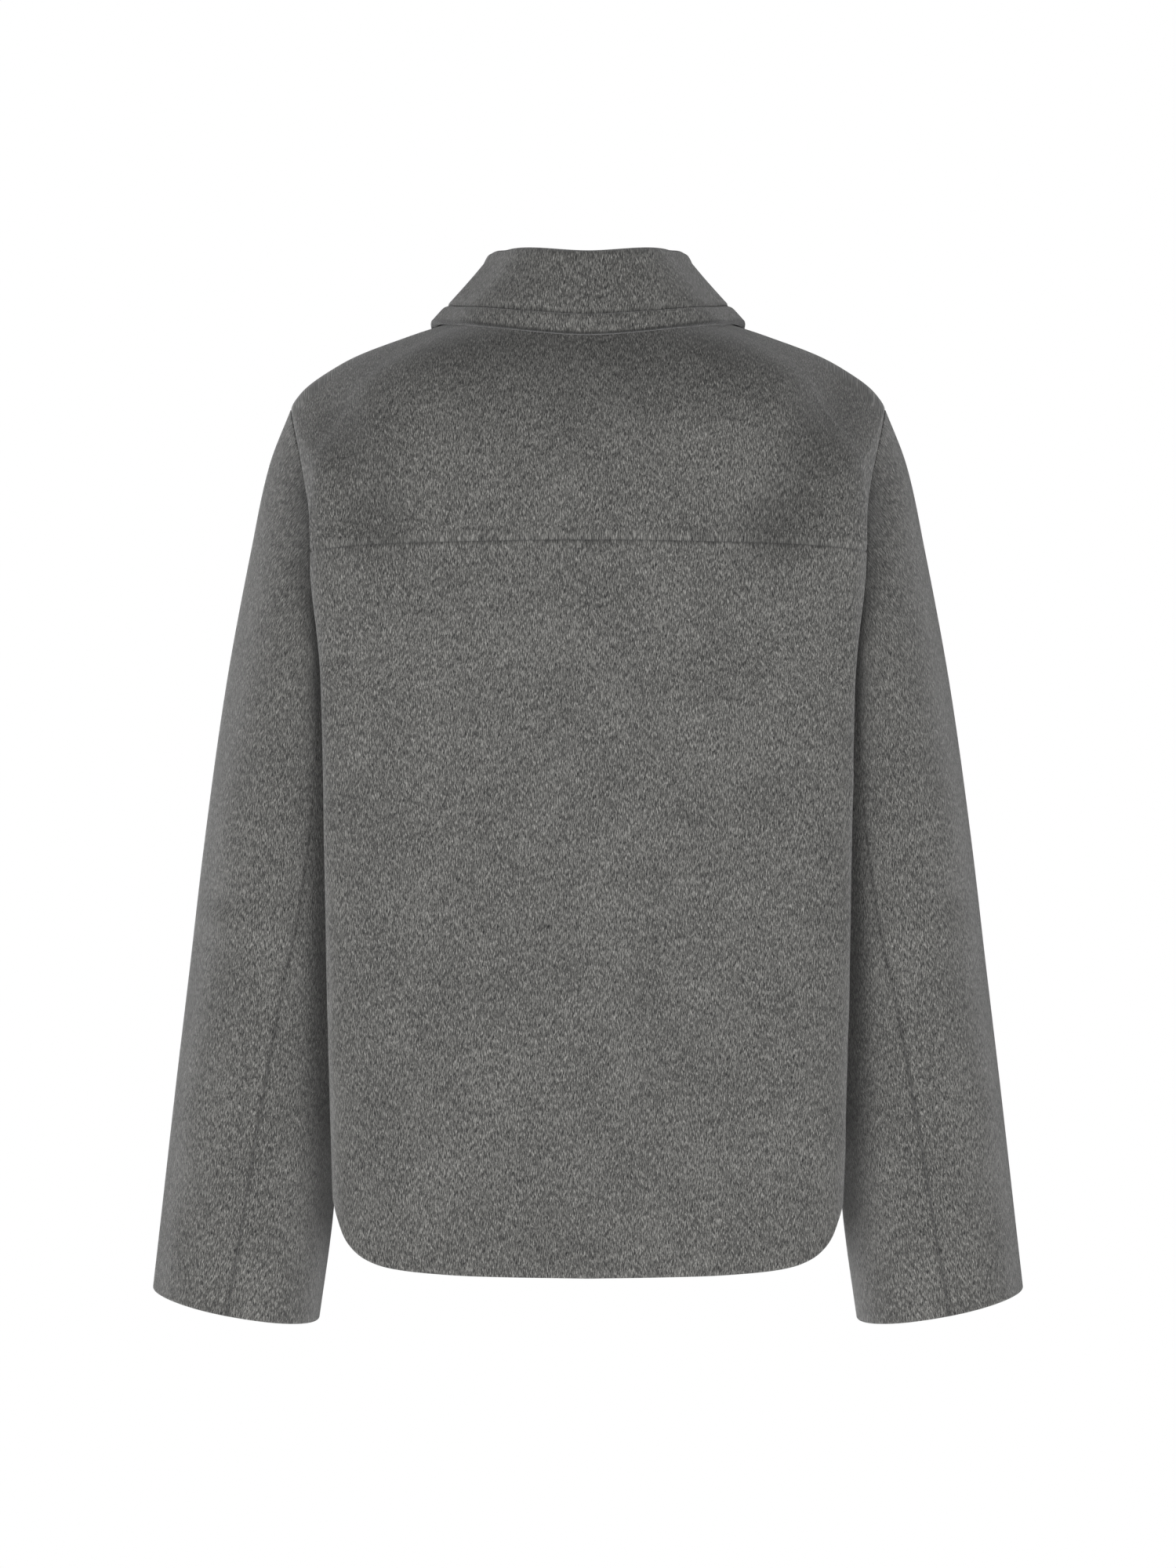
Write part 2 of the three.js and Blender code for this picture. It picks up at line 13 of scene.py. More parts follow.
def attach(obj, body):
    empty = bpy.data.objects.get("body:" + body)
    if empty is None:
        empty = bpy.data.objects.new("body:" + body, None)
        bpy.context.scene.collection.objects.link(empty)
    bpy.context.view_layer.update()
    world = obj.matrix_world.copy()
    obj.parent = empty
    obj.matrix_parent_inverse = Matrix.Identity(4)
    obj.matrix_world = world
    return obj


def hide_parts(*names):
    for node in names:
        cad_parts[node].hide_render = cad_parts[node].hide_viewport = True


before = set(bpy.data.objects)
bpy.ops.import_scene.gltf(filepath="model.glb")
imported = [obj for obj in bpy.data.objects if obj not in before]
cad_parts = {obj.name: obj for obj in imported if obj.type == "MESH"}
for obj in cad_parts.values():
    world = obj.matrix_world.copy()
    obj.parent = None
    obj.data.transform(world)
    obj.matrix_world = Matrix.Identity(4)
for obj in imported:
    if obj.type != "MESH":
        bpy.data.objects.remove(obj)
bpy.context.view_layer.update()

# Driving sizes in millimetres, in the frame of the part's source.
# The armhole gap and the collar are a little closer here than in the solids.
MM = 0.001
CLOTH = 3
COLLAR_CLOTH = 4
STAND_CLOTH = 3.5
SEAM_GAP = 0.3
SLEEVE_GAP = 0.5
HEM_BACK = 643
LAP = 18
LAP_RUNOUT = 20
LAP_COVER = 14
LAP_GAP = 0.8
PHOTO = {"height": 2000, "middle_row": 1000, "neck_seam_row": 394, "mm_a_pixel": 0.52}
MIDDLE_Z = -(PHOTO["middle_row"] - PHOTO["neck_seam_row"]) * PHOTO["mm_a_pixel"] * MM
CAMERA_AWAY = 6000
BACK_PLANE = 106
FLOOR = {"z": -1450, "half_wide": 3000}

# Places on the half section of the torso, from 0 at the centre back to 1 at the centre front
FOLD = 0.38
SIDE = 0.5
CHEST = 0.62
KNOTS = (0, FOLD, SIDE, CHEST, 1)
CENTRE_RUN = 1.25
TURN = {"outer": 60, "inner": 40}


def table(names, rows):
    """Columns of a table by name."""
    return dict(zip(names.split(), np.array(rows, float).T))


TORSO = table(
    "at backY backZ foldX foldY foldZ sideX sideY sideZ chestX chestY chestZ frontY frontZ square",
    [
        [0, 58, 0, 63, 25, 1, 72, -3, 0, 60, -37, -28, -68, -75, 0],
        [22, 79, -30, 110, 45, -18, 122, -4, -15, 104, -52, -42, -88, -104, 0],
        [44, 95, -72, 154, 62, -51, 166, -5, -32, 146, -62, -72, -106, -136, 0.2],
        [66, 103, -114, 183.5, 72, -100.5, 201, -6, -62, 174, -68, -112, -120, -168, 0.4],
        [157, 106, -153, 186, 78, -160, 201, -4, -172, 176, -68, -165, -133, -205, 0.7],
        [248, 107, -248, 178, 82, -248, 151, 0, -248, 166, -70, -248, -140, -248, 1],
        [340, 108, -340, 176, 83, -340, 149, 2, -340, 164, -70, -340, -139, -340, 1],
        [450, 110, -450, 174, 84, -450, 149, 2, -450, 162, -68, -450, -137, -450, 1],
        [560, 112, -560, 171, 85, -560, 149, 2, -560, 160, -66, -560, -135, -560, 1],
        [660, 113, -660, 168, 86, -660, 149, 2, -660, 158, -64, -660, -133, -660, 1],
    ],
)
HEM = table(
    "place rise",
    [
        [0, 0], [0.12, 1.2], [0.2, 4], [0.24, 7], [0.275, 12.5], [0.3, 19], [0.32, 26], [0.345, 38],
        [0.39, 54], [0.44, 64], [0.5, 68], [0.56, 60], [0.64, 36], [0.74, 14], [0.86, 6], [1, 6],
    ],
)
ARMHOLE = {"at": 157, "half_wide": SIDE - FOLD, "half_deep": 91, "roundness": 2.3}
ARMHOLE_QUARTERS = (6, 10, 10, 6)
UNDERARM = 16
YOKE_CORNER = 6
YOKE_END = 30
ARMHOLE_POINTS = 32
YOKE_END_AT_NECK = 0.57
SLEEVE = table(
    "z outer inner back front",
    [
        [-61, 200, 150, 62, -60],
        [-102, 215.5, 150, 66, -62],
        [-156, 227, 151, 68, -66],
        [-250, 244.5, 154.5, 66, -72],
        [-356, 259.5, 157.5, 58, -78],
        [-440, 269.5, 161.5, 50, -80],
        [-523, 279.5, 166, 42, -80],
        [-606, 289, 172.5, 34, -79],
        [-680, 297.5, 182.5, 28, -77],
    ],
)
CUFF = {"middle": -667, "outward": 0.18, "backward": -0.125}
HEAD_EASE = 38
SLEEVE_MIDDLE = -400
BACK_SEAM_POINT = 11
FRONT_SEAM_POINT = 21
FRONT_SEAM_ANGLE = 232
BACK_SEAM_ANGLES = table("z angle", [[-672, 86], [-590, 90], [-460, 102], [-400, 111], [-230, 122]])
STAND_TOP = {
    "backY": 50, "backZ": 32, "foldX": 49, "foldY": 21, "foldZ": 34.5,
    "sideX": 59.5, "sideY": -4, "sideZ": 31.2, "chestX": 49, "chestY": -34, "chestZ": 4,
    "frontY": -62, "frontZ": -48, "square": 0,
}
COLLAR_END = 0.985
ROLL = {"rise": 3, "radius": 5, "rows": 13}
FALL = {"off_cloth": 0.6, "belly": -1.5, "side_belly": -1.0, "to_side": (0.2, 0.42), "rows": 40}
FALL_EDGE = table(
    "place torso_place depth",
    [
        [0, 0, 13], [0.2, 0.2, 12.5], [0.38, 0.38, 12.5], [0.5, 0.5, 14],
        [0.62, 0.61, 16], [0.8, 0.72, 22], [1, 0.84, 30],
    ],
)
BUTTON = {"radius": 11, "thick": 4, "hole": 1.1, "hole_out": 3, "rounding": 0.5}
RIM = {"radius": 0.9, "from_edge": 1.6, "sunk": 0.35, "points": 48}
THREAD = {"radius": 0.45, "under": 0.5, "over": 0.35, "arch": 0.3, "arch_from": 0.15}
BUTTONS = table("z seat", [[-128, 0.8], [-232, 0.4], [-336, 0.4], [-440, 0.4], [-544, 0.4]])
BUTTONHOLE = {"length": 26, "half_wide": 1.1, "in_edge": 3, "raised": 0.1, "blunt": 0.6, "points": 40}

# Lengths of cloth that set how finely a piece is divided
YOKE_LENGTH = 150
BACK_WIDTH = 480
FRONT_WIDTH = 250
SLEEVE_LENGTH = 560
TOP_WIDTH = 230
UNDER_WIDTH = 120
STAND_LENGTH = 360
STAND_HEIGHT = 36
FALL_LENGTH = 440
FALL_DEPTH = 86

RIDGE = 20                      # how far back the shoulders' highest line lies
RIDGE_GRAIN = 0.45              # streaks on top of the shoulders are longer by its inverse
SHOULDER_POINT = {"at": 62.5, "along": 5, "round": 0.1, "low": 1.2}
PLAIN_NECK = (16, 40)           # depths over which the creases start below the neck
PLAIN_LAP = (16, 52)            # and distances from the centre front over which they start
FACING = {"body": (0.05, 0.5), "shades": (0.05, 0.4), "sleeve": (0.05, 0.6)}

# Finish of the sewn cloth
PITCH = 3.2                     # distance between grid lines
SEAM_ROUND = 0.5                # rounding of an edge at a seam
YOKE_ROUND = 0.9                # rounding at the cross seam of the back
YOKE_SINK = {"deep": 1.5, "wide": 1.5}
EDGE_ROUND = 1.7                # and of a free, turned edge
EDGE_SHARES = np.array([0, 0.03, 0.15, 0.4, 0.7])
SEAM_LINES = np.array([0.4, 1.0, 1.8])
FINE_BAND = {"half_wide": 3, "lines": 15}
STEP = {"place": 0.002, "depth": 0.6}
EDGE_SAMPLES = 200
SHOULDER_SAMPLES = 60
ARMHOLE_SAMPLES = 601
SLEEVE_SAMPLES = 721
BODY_EDGE_SAMPLES = 40
# How dark the painted shade is along each kind of seam, from 0 to 1
SEAM_SHADE = {
    "yoke": 1.0, "armhole": 0.05, "side": 0.5, "sleeve": 0.4, "upper_sleeve": 0.1, "stitch": 0.5, "neck": 0.5,
    "fall_edge": 0.9,
}
SEAM_SHADE_WIDE = 1.5
SEAM_SHADE_FADES = (-360, -300)  # heights over which the sleeve's back seam turns faint
SIDE_SHADE_STARTS = 4            # run of depth from the armhole's mark to the side seam's
PAST_CORNER = (0.44, 0.54)      # shares of the yoke's edge between its cross seam and the armhole
STITCH_LINE = {"from_edge": 15, "deep": 2.0, "wide": 0.9, "strip": 0.8, "ramp": 4}
YOKE_PUFF = {"from_edge": 5, "wide": 3.5, "high": 1.3, "at_armhole": 0.2}
SLEEVE_FOLD = {"top": -88, "full": -124, "low": -240, "end": -300, "deep": 2.2, "wide": 15}
# How dark the painted shade is on the sleeve beside the body's edge, where the body shades it
SLEEVE_SHADE = {"wide": 12, "dark": 0.65, "below": 0.35}
RIPPLE = table(
    "across down phase high",
    [[97, 143, 0.4, 0.35], [61, -118, 1.9, 0.25], [151, 77, 3.1, 0.3], [-43, 89, 4.4, 0.15]],
)


def crease_table(rows):
    return table("x z toX toZ bow wide high", rows)


# Soft creases of the body and of each sleeve. Each runs from x, z to toX, toZ with a bow to one side;
# high is below 0 in a trough.
BACK_CREASES = crease_table([
    [164, -72, 142, -140, 6, 22, -6.5],
    [-160, -62, -124, -142, -8, 26, -8],
    [176, -128, 160, -190, 4, 14, -1.2],
    [-176, -120, -158, -200, -4, 15, -1.4],
    [100, -24, 158, -52, 5, 14, 1.2],
    [-96, -22, -150, -46, -5, 14, 1.0],
    [-95, -80, -60, -150, 6, 26, 1.2],
    [98, -214, 112, -400, 14, 42, 1.3],
    [-34, -190, -76, -470, -16, 38, -1.4],
    [40, -300, 22, -600, 12, 36, -1.0],
    [-120, -330, -104, -610, -8, 40, 1.2],
    [150, -420, 140, -600, 4, 26, -1.0],
    [60, -470, 130, -560, 10, 30, 0.8],
])
FRONT_CREASES = crease_table([
    [150, -88, 118, -170, 6, 20, -2.4],
    [-152, -84, -112, -176, -8, 22, -2.8],
    [96, -190, 120, -420, 12, 40, 1.2],
    [-70, -200, -92, -480, -12, 38, -1.2],
    [60, -380, 44, -610, 8, 34, -1.0],
    [-128, -360, -118, -600, -6, 36, 1.1],
])
# Painted shade under the collar and in the hollows by the armholes
PAINTED_SHADES = crease_table([
    [96, -20, -96, -20, 4, 31, 0.3],
    [156, -74, 138, -136, 6, 24, 0.26],
    [-154, -70, -128, -140, -8, 27, 0.32],
    [-40, -60, 90, -76, 6, 34, 0.07],
])
SLEEVE_CREASES = {
    "left": crease_table([
        [286, -378, 214, -392, 5, 10, -2.6],
        [284, -396, 236, -404, 4, 9, 1.6],
        [272, -414, 206, -432, 6, 11, -1.8],
        [224, -130, 206, -250, 6, 16, 1.0],
        [262, -260, 246, -420, 8, 22, 0.8],
        [232, -470, 250, -640, 6, 20, -1.0],
        [204, -110, 196, -170, 3, 9, -1.2],
    ]),
    "right": crease_table([
        [282, -386, 216, -398, -4, 10, -2.8],
        [288, -402, 240, -416, 5, 9, 1.5],
        [204, -92, 190, -134, 4, 7, -2.0],
        [214, -96, 206, -150, 4, 8, 1.4],
        [228, -150, 210, -262, 6, 16, 1.0],
        [264, -240, 250, -400, 8, 22, 0.9],
        [236, -480, 254, -650, 6, 20, -1.0],
    ]),
}
FRONT_OF_SLEEVE = {"share": 0.8, "lower": 14}

# Looks of the wool, and the light
WOOL = {
    "roughness": 0.95,
    "specular": 0.15,
    "sheen": 0.4,
    "sheen_roughness": 0.45,
    "bump": 0.6,
    "relief": 0.0006,
    "darkest": (0.018, 0.018, 0.019),
    "middle": (0.104, 0.103, 0.098),
    "lightest": (0.33, 0.325, 0.31),
    # the dark colour of the painted shade at seams, grooves, creases and under the collar
    "pressed": (0.014, 0.014, 0.014),
}
# The nap's layers of noise: light fibres, dark fibres, locks, crossing locks, tufts and clouds.
# lean is in degrees, across and along are cells a metre, and the noise from low to high adds a share
# from atLow to atHigh of the way between the darkest and the lightest wool.
NAP = table(
    "lean across along detail seed low high atLow atHigh",
    [
        [9, 2300, 330, 2, 3.1, 0.52, 0.78, 0, 0.8],
        [-9, 2300, 330, 2, 7.7, 0.5, 0.78, 0, -0.75],
        [4.5, 1150, 200, 3, 2.3, 0.25, 0.75, -0.2, 0.2],
        [-9, 1150, 200, 3, 6.1, 0.25, 0.75, -0.2, 0.2],
        [6, 260, 90, 2, 1.3, 0.3, 0.7, -0.06, 0.06],
        [0, 26, 18, 3, 5.9, 0.3, 0.7, -0.04, 0.04],
    ],
)
MIX_COLOR = {"a": 6, "b": 7, "result": 2}       # the sockets of a Mix node that hold colours
MOTTLE = {"dark": 0.7, "light": 1.4}
KEY = {"aside": 1.2, "behind": 5.0, "lower": 0.4, "size": (1.4, 1.8), "right_share": 0.85}
FILL = {"place": (1.0, -4.5), "size": (2.0, 2.0)}
LIGHT = {"key": 134, "front": 190, "room": 0.4, "ceiling": 0.02, "floor": 0.2}
WALL_FADES = (-0.7, 0.3)        # of a direction's Y, from the white wall before the camera to the room
CEILING_FADES = (0.12, 0.5)     # of its Z


# Curves and sections
def hermite(start, end, leave, arrive, u):
    rest = 1 - u
    share = u * u * (3 - 2 * u)
    return start * (1 - share) + end * share + leave * u * rest * rest - arrive * u * u * rest


def curve(x, y):
    """A smooth curve through points that never overshoots them."""
    order = np.argsort(x)
    x, y = x[order], y[order]
    width = np.diff(x)
    slope = np.diff(y) / width
    tangent = np.concatenate([slope[:1], np.zeros(len(x) - 2), slope[-1:]])
    for i in range(1, len(x) - 1):
        if slope[i - 1] * slope[i] > 0:
            before = 2 * width[i] + width[i - 1]
            after = width[i] + 2 * width[i - 1]
            tangent[i] = (before + after) / (before / slope[i - 1] + after / slope[i])

    def value(at):
        at = np.clip(at, x[0], x[-1])
        i = np.clip(np.searchsorted(x, at, side="right") - 1, 0, len(width) - 1)
        w = width[i]
        return hermite(y[i], y[i + 1], tangent[i] * w, tangent[i + 1] * w, (at - x[i]) / w)

    return value


def curves(columns, across):
    return {name: curve(columns[across], columns[name]) for name in columns if name != across}


def lerp(a, b, u):
    return a + (b - a) * u


def smooth(value, low, high):
    u = np.clip((value - low) / (high - low), 0, 1)
    return u * u * (3 - 2 * u)


def points(x, y, z):
    return np.stack(np.broadcast_arrays(x, y, z), -1).astype(float)


def unit(vectors):
    return vectors / np.linalg.norm(vectors, axis=-1, keepdims=True)


def run_along(path):
    """Length along a path to each of its points."""
    return np.concatenate([[0], np.cumsum(np.linalg.norm(np.diff(path, axis=0), axis=1))])


def section(row, place):
    """Points on a half section; places below 0 and above 1 lie on the other half."""
    place = np.asarray(place, float)
    half = np.where((place < 0) | (place > 1), -1.0, 1.0)
    at = np.where(place < 0, -place, np.where(place > 1, 2 - place, place))
    zero = np.zeros_like(at)
    knot = [points(zero, row["backY"], row["backZ"])]
    knot += [points(row[n + "X"] + zero, row[n + "Y"], row[n + "Z"]) for n in ("fold", "side", "chest")]
    knot.append(points(zero, row["frontY"], row["frontZ"]))
    width = np.diff(KNOTS)
    run = [(knot[i + 1] - knot[i]) / width[i] for i in range(4)]
    square = np.asarray(row["square"] + zero)[..., None]

    def through(i):
        return (run[i - 1] * width[i] + run[i] * width[i - 1]) / (width[i - 1] + width[i])

    def turned(i, length, w):
        return lerp(through(i), np.array([0, -length / w, 0]), square)

    leave = [
        points(CENTRE_RUN * row["foldX"] / width[0] + zero, 0, 0),
        turned(1, TURN["inner"], width[1]),
        through(2),
        turned(3, TURN["outer"], width[3]),
    ]
    arrive = [
        turned(1, TURN["outer"], width[0]),
        through(2),
        turned(3, TURN["inner"], width[2]),
        points(-CENTRE_RUN * row["chestX"] / width[3] + zero, 0, 0),
    ]
    made = np.zeros(at.shape + (3,))
    for i in range(4):
        u = ((at - KNOTS[i]) / width[i])[..., None]
        value = hermite(knot[i], knot[i + 1], leave[i] * width[i], arrive[i] * width[i], u)
        made = np.where((at >= KNOTS[i])[..., None], value, made)
    made[..., 0] *= half
    return made


torso_row = curves(TORSO, "at")
hem_rise = curve(HEM["place"], HEM["rise"])
front_depth = curve(TORSO["frontZ"], TORSO["at"])


def torso(place, depth):
    place, depth = np.broadcast_arrays(np.asarray(place, float), np.asarray(depth, float))
    return section({name: value(depth) for name, value in torso_row.items()}, place)


def torso_normal(place, depth):
    along = torso(place + STEP["place"], depth) - torso(place - STEP["place"], depth)
    down = torso(place, depth + STEP["depth"]) - torso(place, np.maximum(depth - STEP["depth"], 0))
    return unit(np.cross(along, down))


def hem_depth(place):
    return HEM_BACK - hem_rise(np.where(place > 1, 2 - place, place))


# The armhole: a closed line whose whole numbers are its evenly spaced points
def armhole_at(angle):
    power = 2 / ARMHOLE["roundness"]
    wide = np.sign(np.sin(angle)) * np.abs(np.sin(angle)) ** power
    deep = np.sign(np.cos(angle)) * np.abs(np.cos(angle)) ** power
    return SIDE - ARMHOLE["half_wide"] * wide, ARMHOLE["at"] - ARMHOLE["half_deep"] * deep


def armhole_angles():
    known, angles = [0.0], [0.0]
    for quarter, count in enumerate(ARMHOLE_QUARTERS):
        turn = np.linspace(quarter, quarter + 1, ARMHOLE_SAMPLES) * math.pi / 2
        length = run_along(torso(*armhole_at(turn)))
        start = sum(ARMHOLE_QUARTERS[:quarter])
        known.extend(start + count * length[1:] / length[-1])
        angles.extend(turn[1:])
    return np.array(known), np.array(angles)


ARMHOLE_KNOWN, ARMHOLE_ANGLES = armhole_angles()


def armhole(k):
    return armhole_at(np.interp(np.mod(k, ARMHOLE_POINTS), ARMHOLE_KNOWN, ARMHOLE_ANGLES))


UNDERARM_DEPTH = float(armhole(UNDERARM)[1])


# Grid lines
def fine_band(middle):
    return np.linspace(middle - FINE_BAND["half_wide"], middle + FINE_BAND["half_wide"], FINE_BAND["lines"])


def lines(length, start, end, fine_at=None, fine_ends=None):
    """Grid lines over a length, closer at its two rounded ends, and how full the wall is at each."""
    at = [
        EDGE_SHARES * start,
        start + SEAM_LINES,
        np.linspace(start, length - end, max(3, round(length / PITCH))),
        length - end - SEAM_LINES,
        length - EDGE_SHARES[::-1] * end,
    ]
    if fine_at is not None:
        at.append(fine_band(fine_at))
    if fine_ends is not None:
        at += [fine_band(fine_ends), length - fine_band(fine_ends)]
    at = np.unique(np.round(np.concatenate(at), 3))
    full = [np.sqrt(1 - (1 - np.clip(side, 0, 1)) ** 2) for side in (at / start, (length - at) / end)]
    return at / length, full[0] * full[1]


def evenly(path, values):
    """Turns a share of a path's length into the value that belongs to it."""
    length = run_along(path)
    return (lambda share: np.interp(share * length[-1], length, values)), float(length[-1])


def lengths(grid, axis):
    """Length along the grid's lines, from the first one."""
    step = np.linalg.norm(np.diff(grid, axis=axis), axis=-1)
    before = np.zeros_like(grid[:1, :, 0] if axis == 0 else grid[:, :1, 0])
    return np.concatenate([before, np.cumsum(step, axis=axis)], axis=axis)


def draped_grain(grid):
    """Cloth coordinates over a shoulder: across, and down both sides of the ridge."""
    return np.stack([grid[..., 0], RIDGE_GRAIN * np.abs(grid[..., 1] - RIDGE) - grid[..., 2]], -1)


def grid_normals(grid):
    return unit(np.cross(np.gradient(grid, axis=1), np.gradient(grid, axis=0)))


# Relief of the cloth
def creases(columns, x, z):
    total = np.zeros_like(x)
    for x0, z0, x1, z1, bow, wide, high in zip(*columns.values()):
        way = np.array([x1 - x0, z1 - z0])
        size = np.hypot(*way)
        t = np.clip(((x - x0) * way[0] + (z - z0) * way[1]) / size ** 2, 0, 1)
        aside = 4 * bow * t * (1 - t) / size
        away = np.hypot(x - (x0 + t * way[0] - aside * way[1]), z - (z0 + t * way[1] + aside * way[0]))
        total += high * np.exp(-((away / wide) ** 2))
    return total


def ripple(x, z):
    total = np.zeros_like(x)
    for across, down, phase, high in zip(*RIPPLE.values()):
        total += high * np.sin(2 * math.pi * (x / across + z / down) + phase)
    return total


def body_relief(place, depth, side=1):
    """How far the torso's cloth stands out of its plain form; the collar and lap stay plain."""
    grid = torso(place, depth)
    normal = torso_normal(place, depth)
    x, z = side * grid[..., 0], grid[..., 2]
    back = smooth(normal[..., 1], *FACING["body"])
    front = smooth(-normal[..., 1], *FACING["body"]) * smooth(np.abs(x), *PLAIN_LAP)
    made = back * creases(BACK_CREASES, x, z) + front * creases(FRONT_CREASES, x, z)
    from_point = ((np.abs(place) - SIDE) / SHOULDER_POINT["round"]) ** 2
    from_point = from_point + ((depth - SHOULDER_POINT["at"]) / SHOULDER_POINT["along"]) ** 2
    made = made - SHOULDER_POINT["low"] * np.exp(-from_point)
    return (made + (back + front) * ripple(x, z)) * smooth(depth, *PLAIN_NECK)


# Meshes
def mesh_object(name, vertices, faces, uv=None, painted_shade=None):
    mesh = bpy.data.meshes.new(name)
    mesh.from_pydata((vertices * MM).tolist(), [], faces.tolist())
    mesh.polygons.foreach_set("use_smooth", np.ones(len(faces), bool))
    if uv is not None:
        corner = np.empty(len(mesh.loops), np.int32)
        mesh.loops.foreach_get("vertex_index", corner)
        layer = mesh.uv_layers.new(name="grain")
        layer.data.foreach_set("uv", (uv * MM)[corner].astype(np.float32).ravel())
        # The seam attribute holds how dark the painted shade is at each point
        seam = mesh.attributes.new("seam", "FLOAT", "POINT")
        seam.data.foreach_set("value", painted_shade.astype(np.float32))
    made = bpy.data.objects.new(name, mesh)
    bpy.context.scene.collection.objects.link(made)
    return made


def quads(index):
    corners = (index[:-1, :-1], index[:-1, 1:], index[1:, 1:], index[1:, :-1])
    return np.stack([c.ravel() for c in corners], -1)


def faces_out(vertices, faces):
    a, b, c, d = (vertices[faces[:, k]] for k in range(4))
    inside = np.sum(a * np.cross(b, c)) + np.sum(a * np.cross(c, d))
    return faces if inside > 0 else faces[:, ::-1]


def painted_seam_shade(middle, top=0, bottom=0, first=0, last=0):
    """How dark the painted shade is along each side of a piece."""
    down, across = lengths(middle, 0), lengths(middle, 1)
    from_sides = ((down, top), (down[-1:] - down, bottom), (across, first), (across[:, -1:] - across, last))
    return sum(depth * np.exp(-(away / SEAM_SHADE_WIDE) ** 2) for away, depth in from_sides)


def shell(name, middle, half, painted_shade, grain_column=None, uv=None):
    """A closed wall about a grid of middle points, with its two faces joined round the edge.

    Its grain runs along one column of the grid, the middle one if none is named.
    """
    normal = grid_normals(middle)
    outer = middle + normal * half[..., None]
    inner = middle - normal * half[..., None]
    rows, cols = half.shape
    out = np.arange(rows * cols).reshape(rows, cols)
    into = out.copy()
    into[1:-1, 1:-1] = rows * cols + np.arange((rows - 2) * (cols - 2)).reshape(rows - 2, cols - 2)
    vertices = np.concatenate([outer.reshape(-1, 3), inner[1:-1, 1:-1].reshape(-1, 3)])
    faces = faces_out(vertices, np.concatenate([quads(out), quads(into)[:, ::-1]]))
    if uv is None:
        run = lengths(middle, 1)
        column = cols // 2 if grain_column is None else grain_column
        uv = np.stack([run - run[:, column:column + 1], lengths(middle, 0)], -1)
    uv = np.concatenate([uv.reshape(-1, 2), uv[1:-1, 1:-1].reshape(-1, 2)])
    painted_shade = np.concatenate([painted_shade.ravel(), painted_shade[1:-1, 1:-1].ravel()])
    return mesh_object(name, vertices, faces, uv, painted_shade)


def half_wall(thickness, down, across):
    return thickness / 2 * down[:, None] * across[None, :]


def turned_over(made):
    """Turns a piece over left to right."""
    made.data.transform(Matrix.Diagonal((-1, 1, 1, 1)))
    made.data.flip_normals()
    return made


# Body
def torso_panel(name, place, depth, down, across, seam_shades, raised=0, puff=None, sink=0, grain_column=None):
    """A wall on the torso; only the yoke has a puff and a sink along its lower edge."""
    outer = torso(place, depth)
    raised = raised + body_relief(place, depth)
    if puff is not None:
        run = lengths(outer, 0)
        below = run[-1:] - run
        raised = raised + puff * np.exp(-((below - YOKE_PUFF["from_edge"]) / YOKE_PUFF["wide"]) ** 2)
        raised = raised - sink * np.exp(-(below / YOKE_SINK["wide"]) ** 2)
    middle = outer + torso_normal(place, depth) * (raised - CLOTH / 2)[..., None]
    uv = draped_grain(middle) if puff is not None else None
    # Painted shade at the seams, and under the collar and in the hollows by the armholes
    seen = smooth(torso_normal(place, depth)[..., 1], *FACING["shades"])
    painted_shade = painted_seam_shade(middle, **seam_shades) + seen * creases(PAINTED_SHADES, outer[..., 0], outer[..., 2])
    return shell(name, middle, half_wall(CLOTH, down, across), np.minimum(painted_shade, 1), grain_column, uv)


def filled(left, right, top, bottom, u):
    """Fills a panel from its four sides; each side is its places and its depths."""
    v = ((left[1] - left[1][0]) / (left[1][-1] - left[1][0]))[:, None]
    made = []
    for axis in (0, 1):
        first, last = (lerp(side(0)[axis], side(1)[axis], u) for side in (top, bottom))
        sides = lerp(left[axis][:, None], right[axis][:, None], u)
        made.append(sides + lerp(top(u)[axis], bottom(u)[axis], v) - lerp(first, last, v))
    return made


def yoke():
    """From the neck to the cross seam and the upper armholes, over both shoulders."""
    seam = np.linspace(0, 1, EDGE_SAMPLES)
    head_place, head_depth = armhole(np.linspace(YOKE_CORNER, YOKE_END - ARMHOLE_POINTS, EDGE_SAMPLES)[1:])
    edge_place = np.concatenate([seam * FOLD, head_place])
    edge_depth = np.concatenate([np.full_like(seam, ARMHOLE["at"]), head_depth])
    step = np.linspace(0, 1, len(edge_place))
    share_of, half_length = evenly(torso(edge_place, edge_depth), step)
    whole, across = lines(2 * half_length, SEAM_ROUND, SEAM_ROUND)
    signed = 2 * whole - 1
    at = share_of(np.abs(signed))
    drop, down = lines(YOKE_LENGTH, SEAM_ROUND, YOKE_ROUND)
    neck = YOKE_END_AT_NECK * np.abs(signed)
    past_corner = smooth(at, *PAST_CORNER)
    puff = lerp(YOKE_PUFF["high"], YOKE_PUFF["at_armhole"], past_corner)
    place = np.sign(signed) * lerp(neck, np.interp(at, step, edge_place), drop[:, None])
    depth = drop[:, None] * np.interp(at, step, edge_depth)
    sink = YOKE_SINK["deep"] * (1 - past_corner)
    # Painted shade along the cross seam, faint at the armholes
    seam_shades = {"bottom": lerp(SEAM_SHADE["yoke"], SEAM_SHADE["armhole"], past_corner)}
    return torso_panel("cloth_yoke", place, depth, down, across, seam_shades, puff=puff, sink=sink)


def edge_rows(point, place, depth, centre_depth, first_round):
    """Rows of a panel, evenly spaced down its side edge, with the depth of each at the centre."""
    share_of, length = evenly(torso(place, depth), point)
    drop, down = lines(length, first_round, EDGE_ROUND)
    at = share_of(drop)
    right = (np.interp(at, point, place), np.interp(at, point, depth))
    return right, np.interp(at, point, centre_depth), down


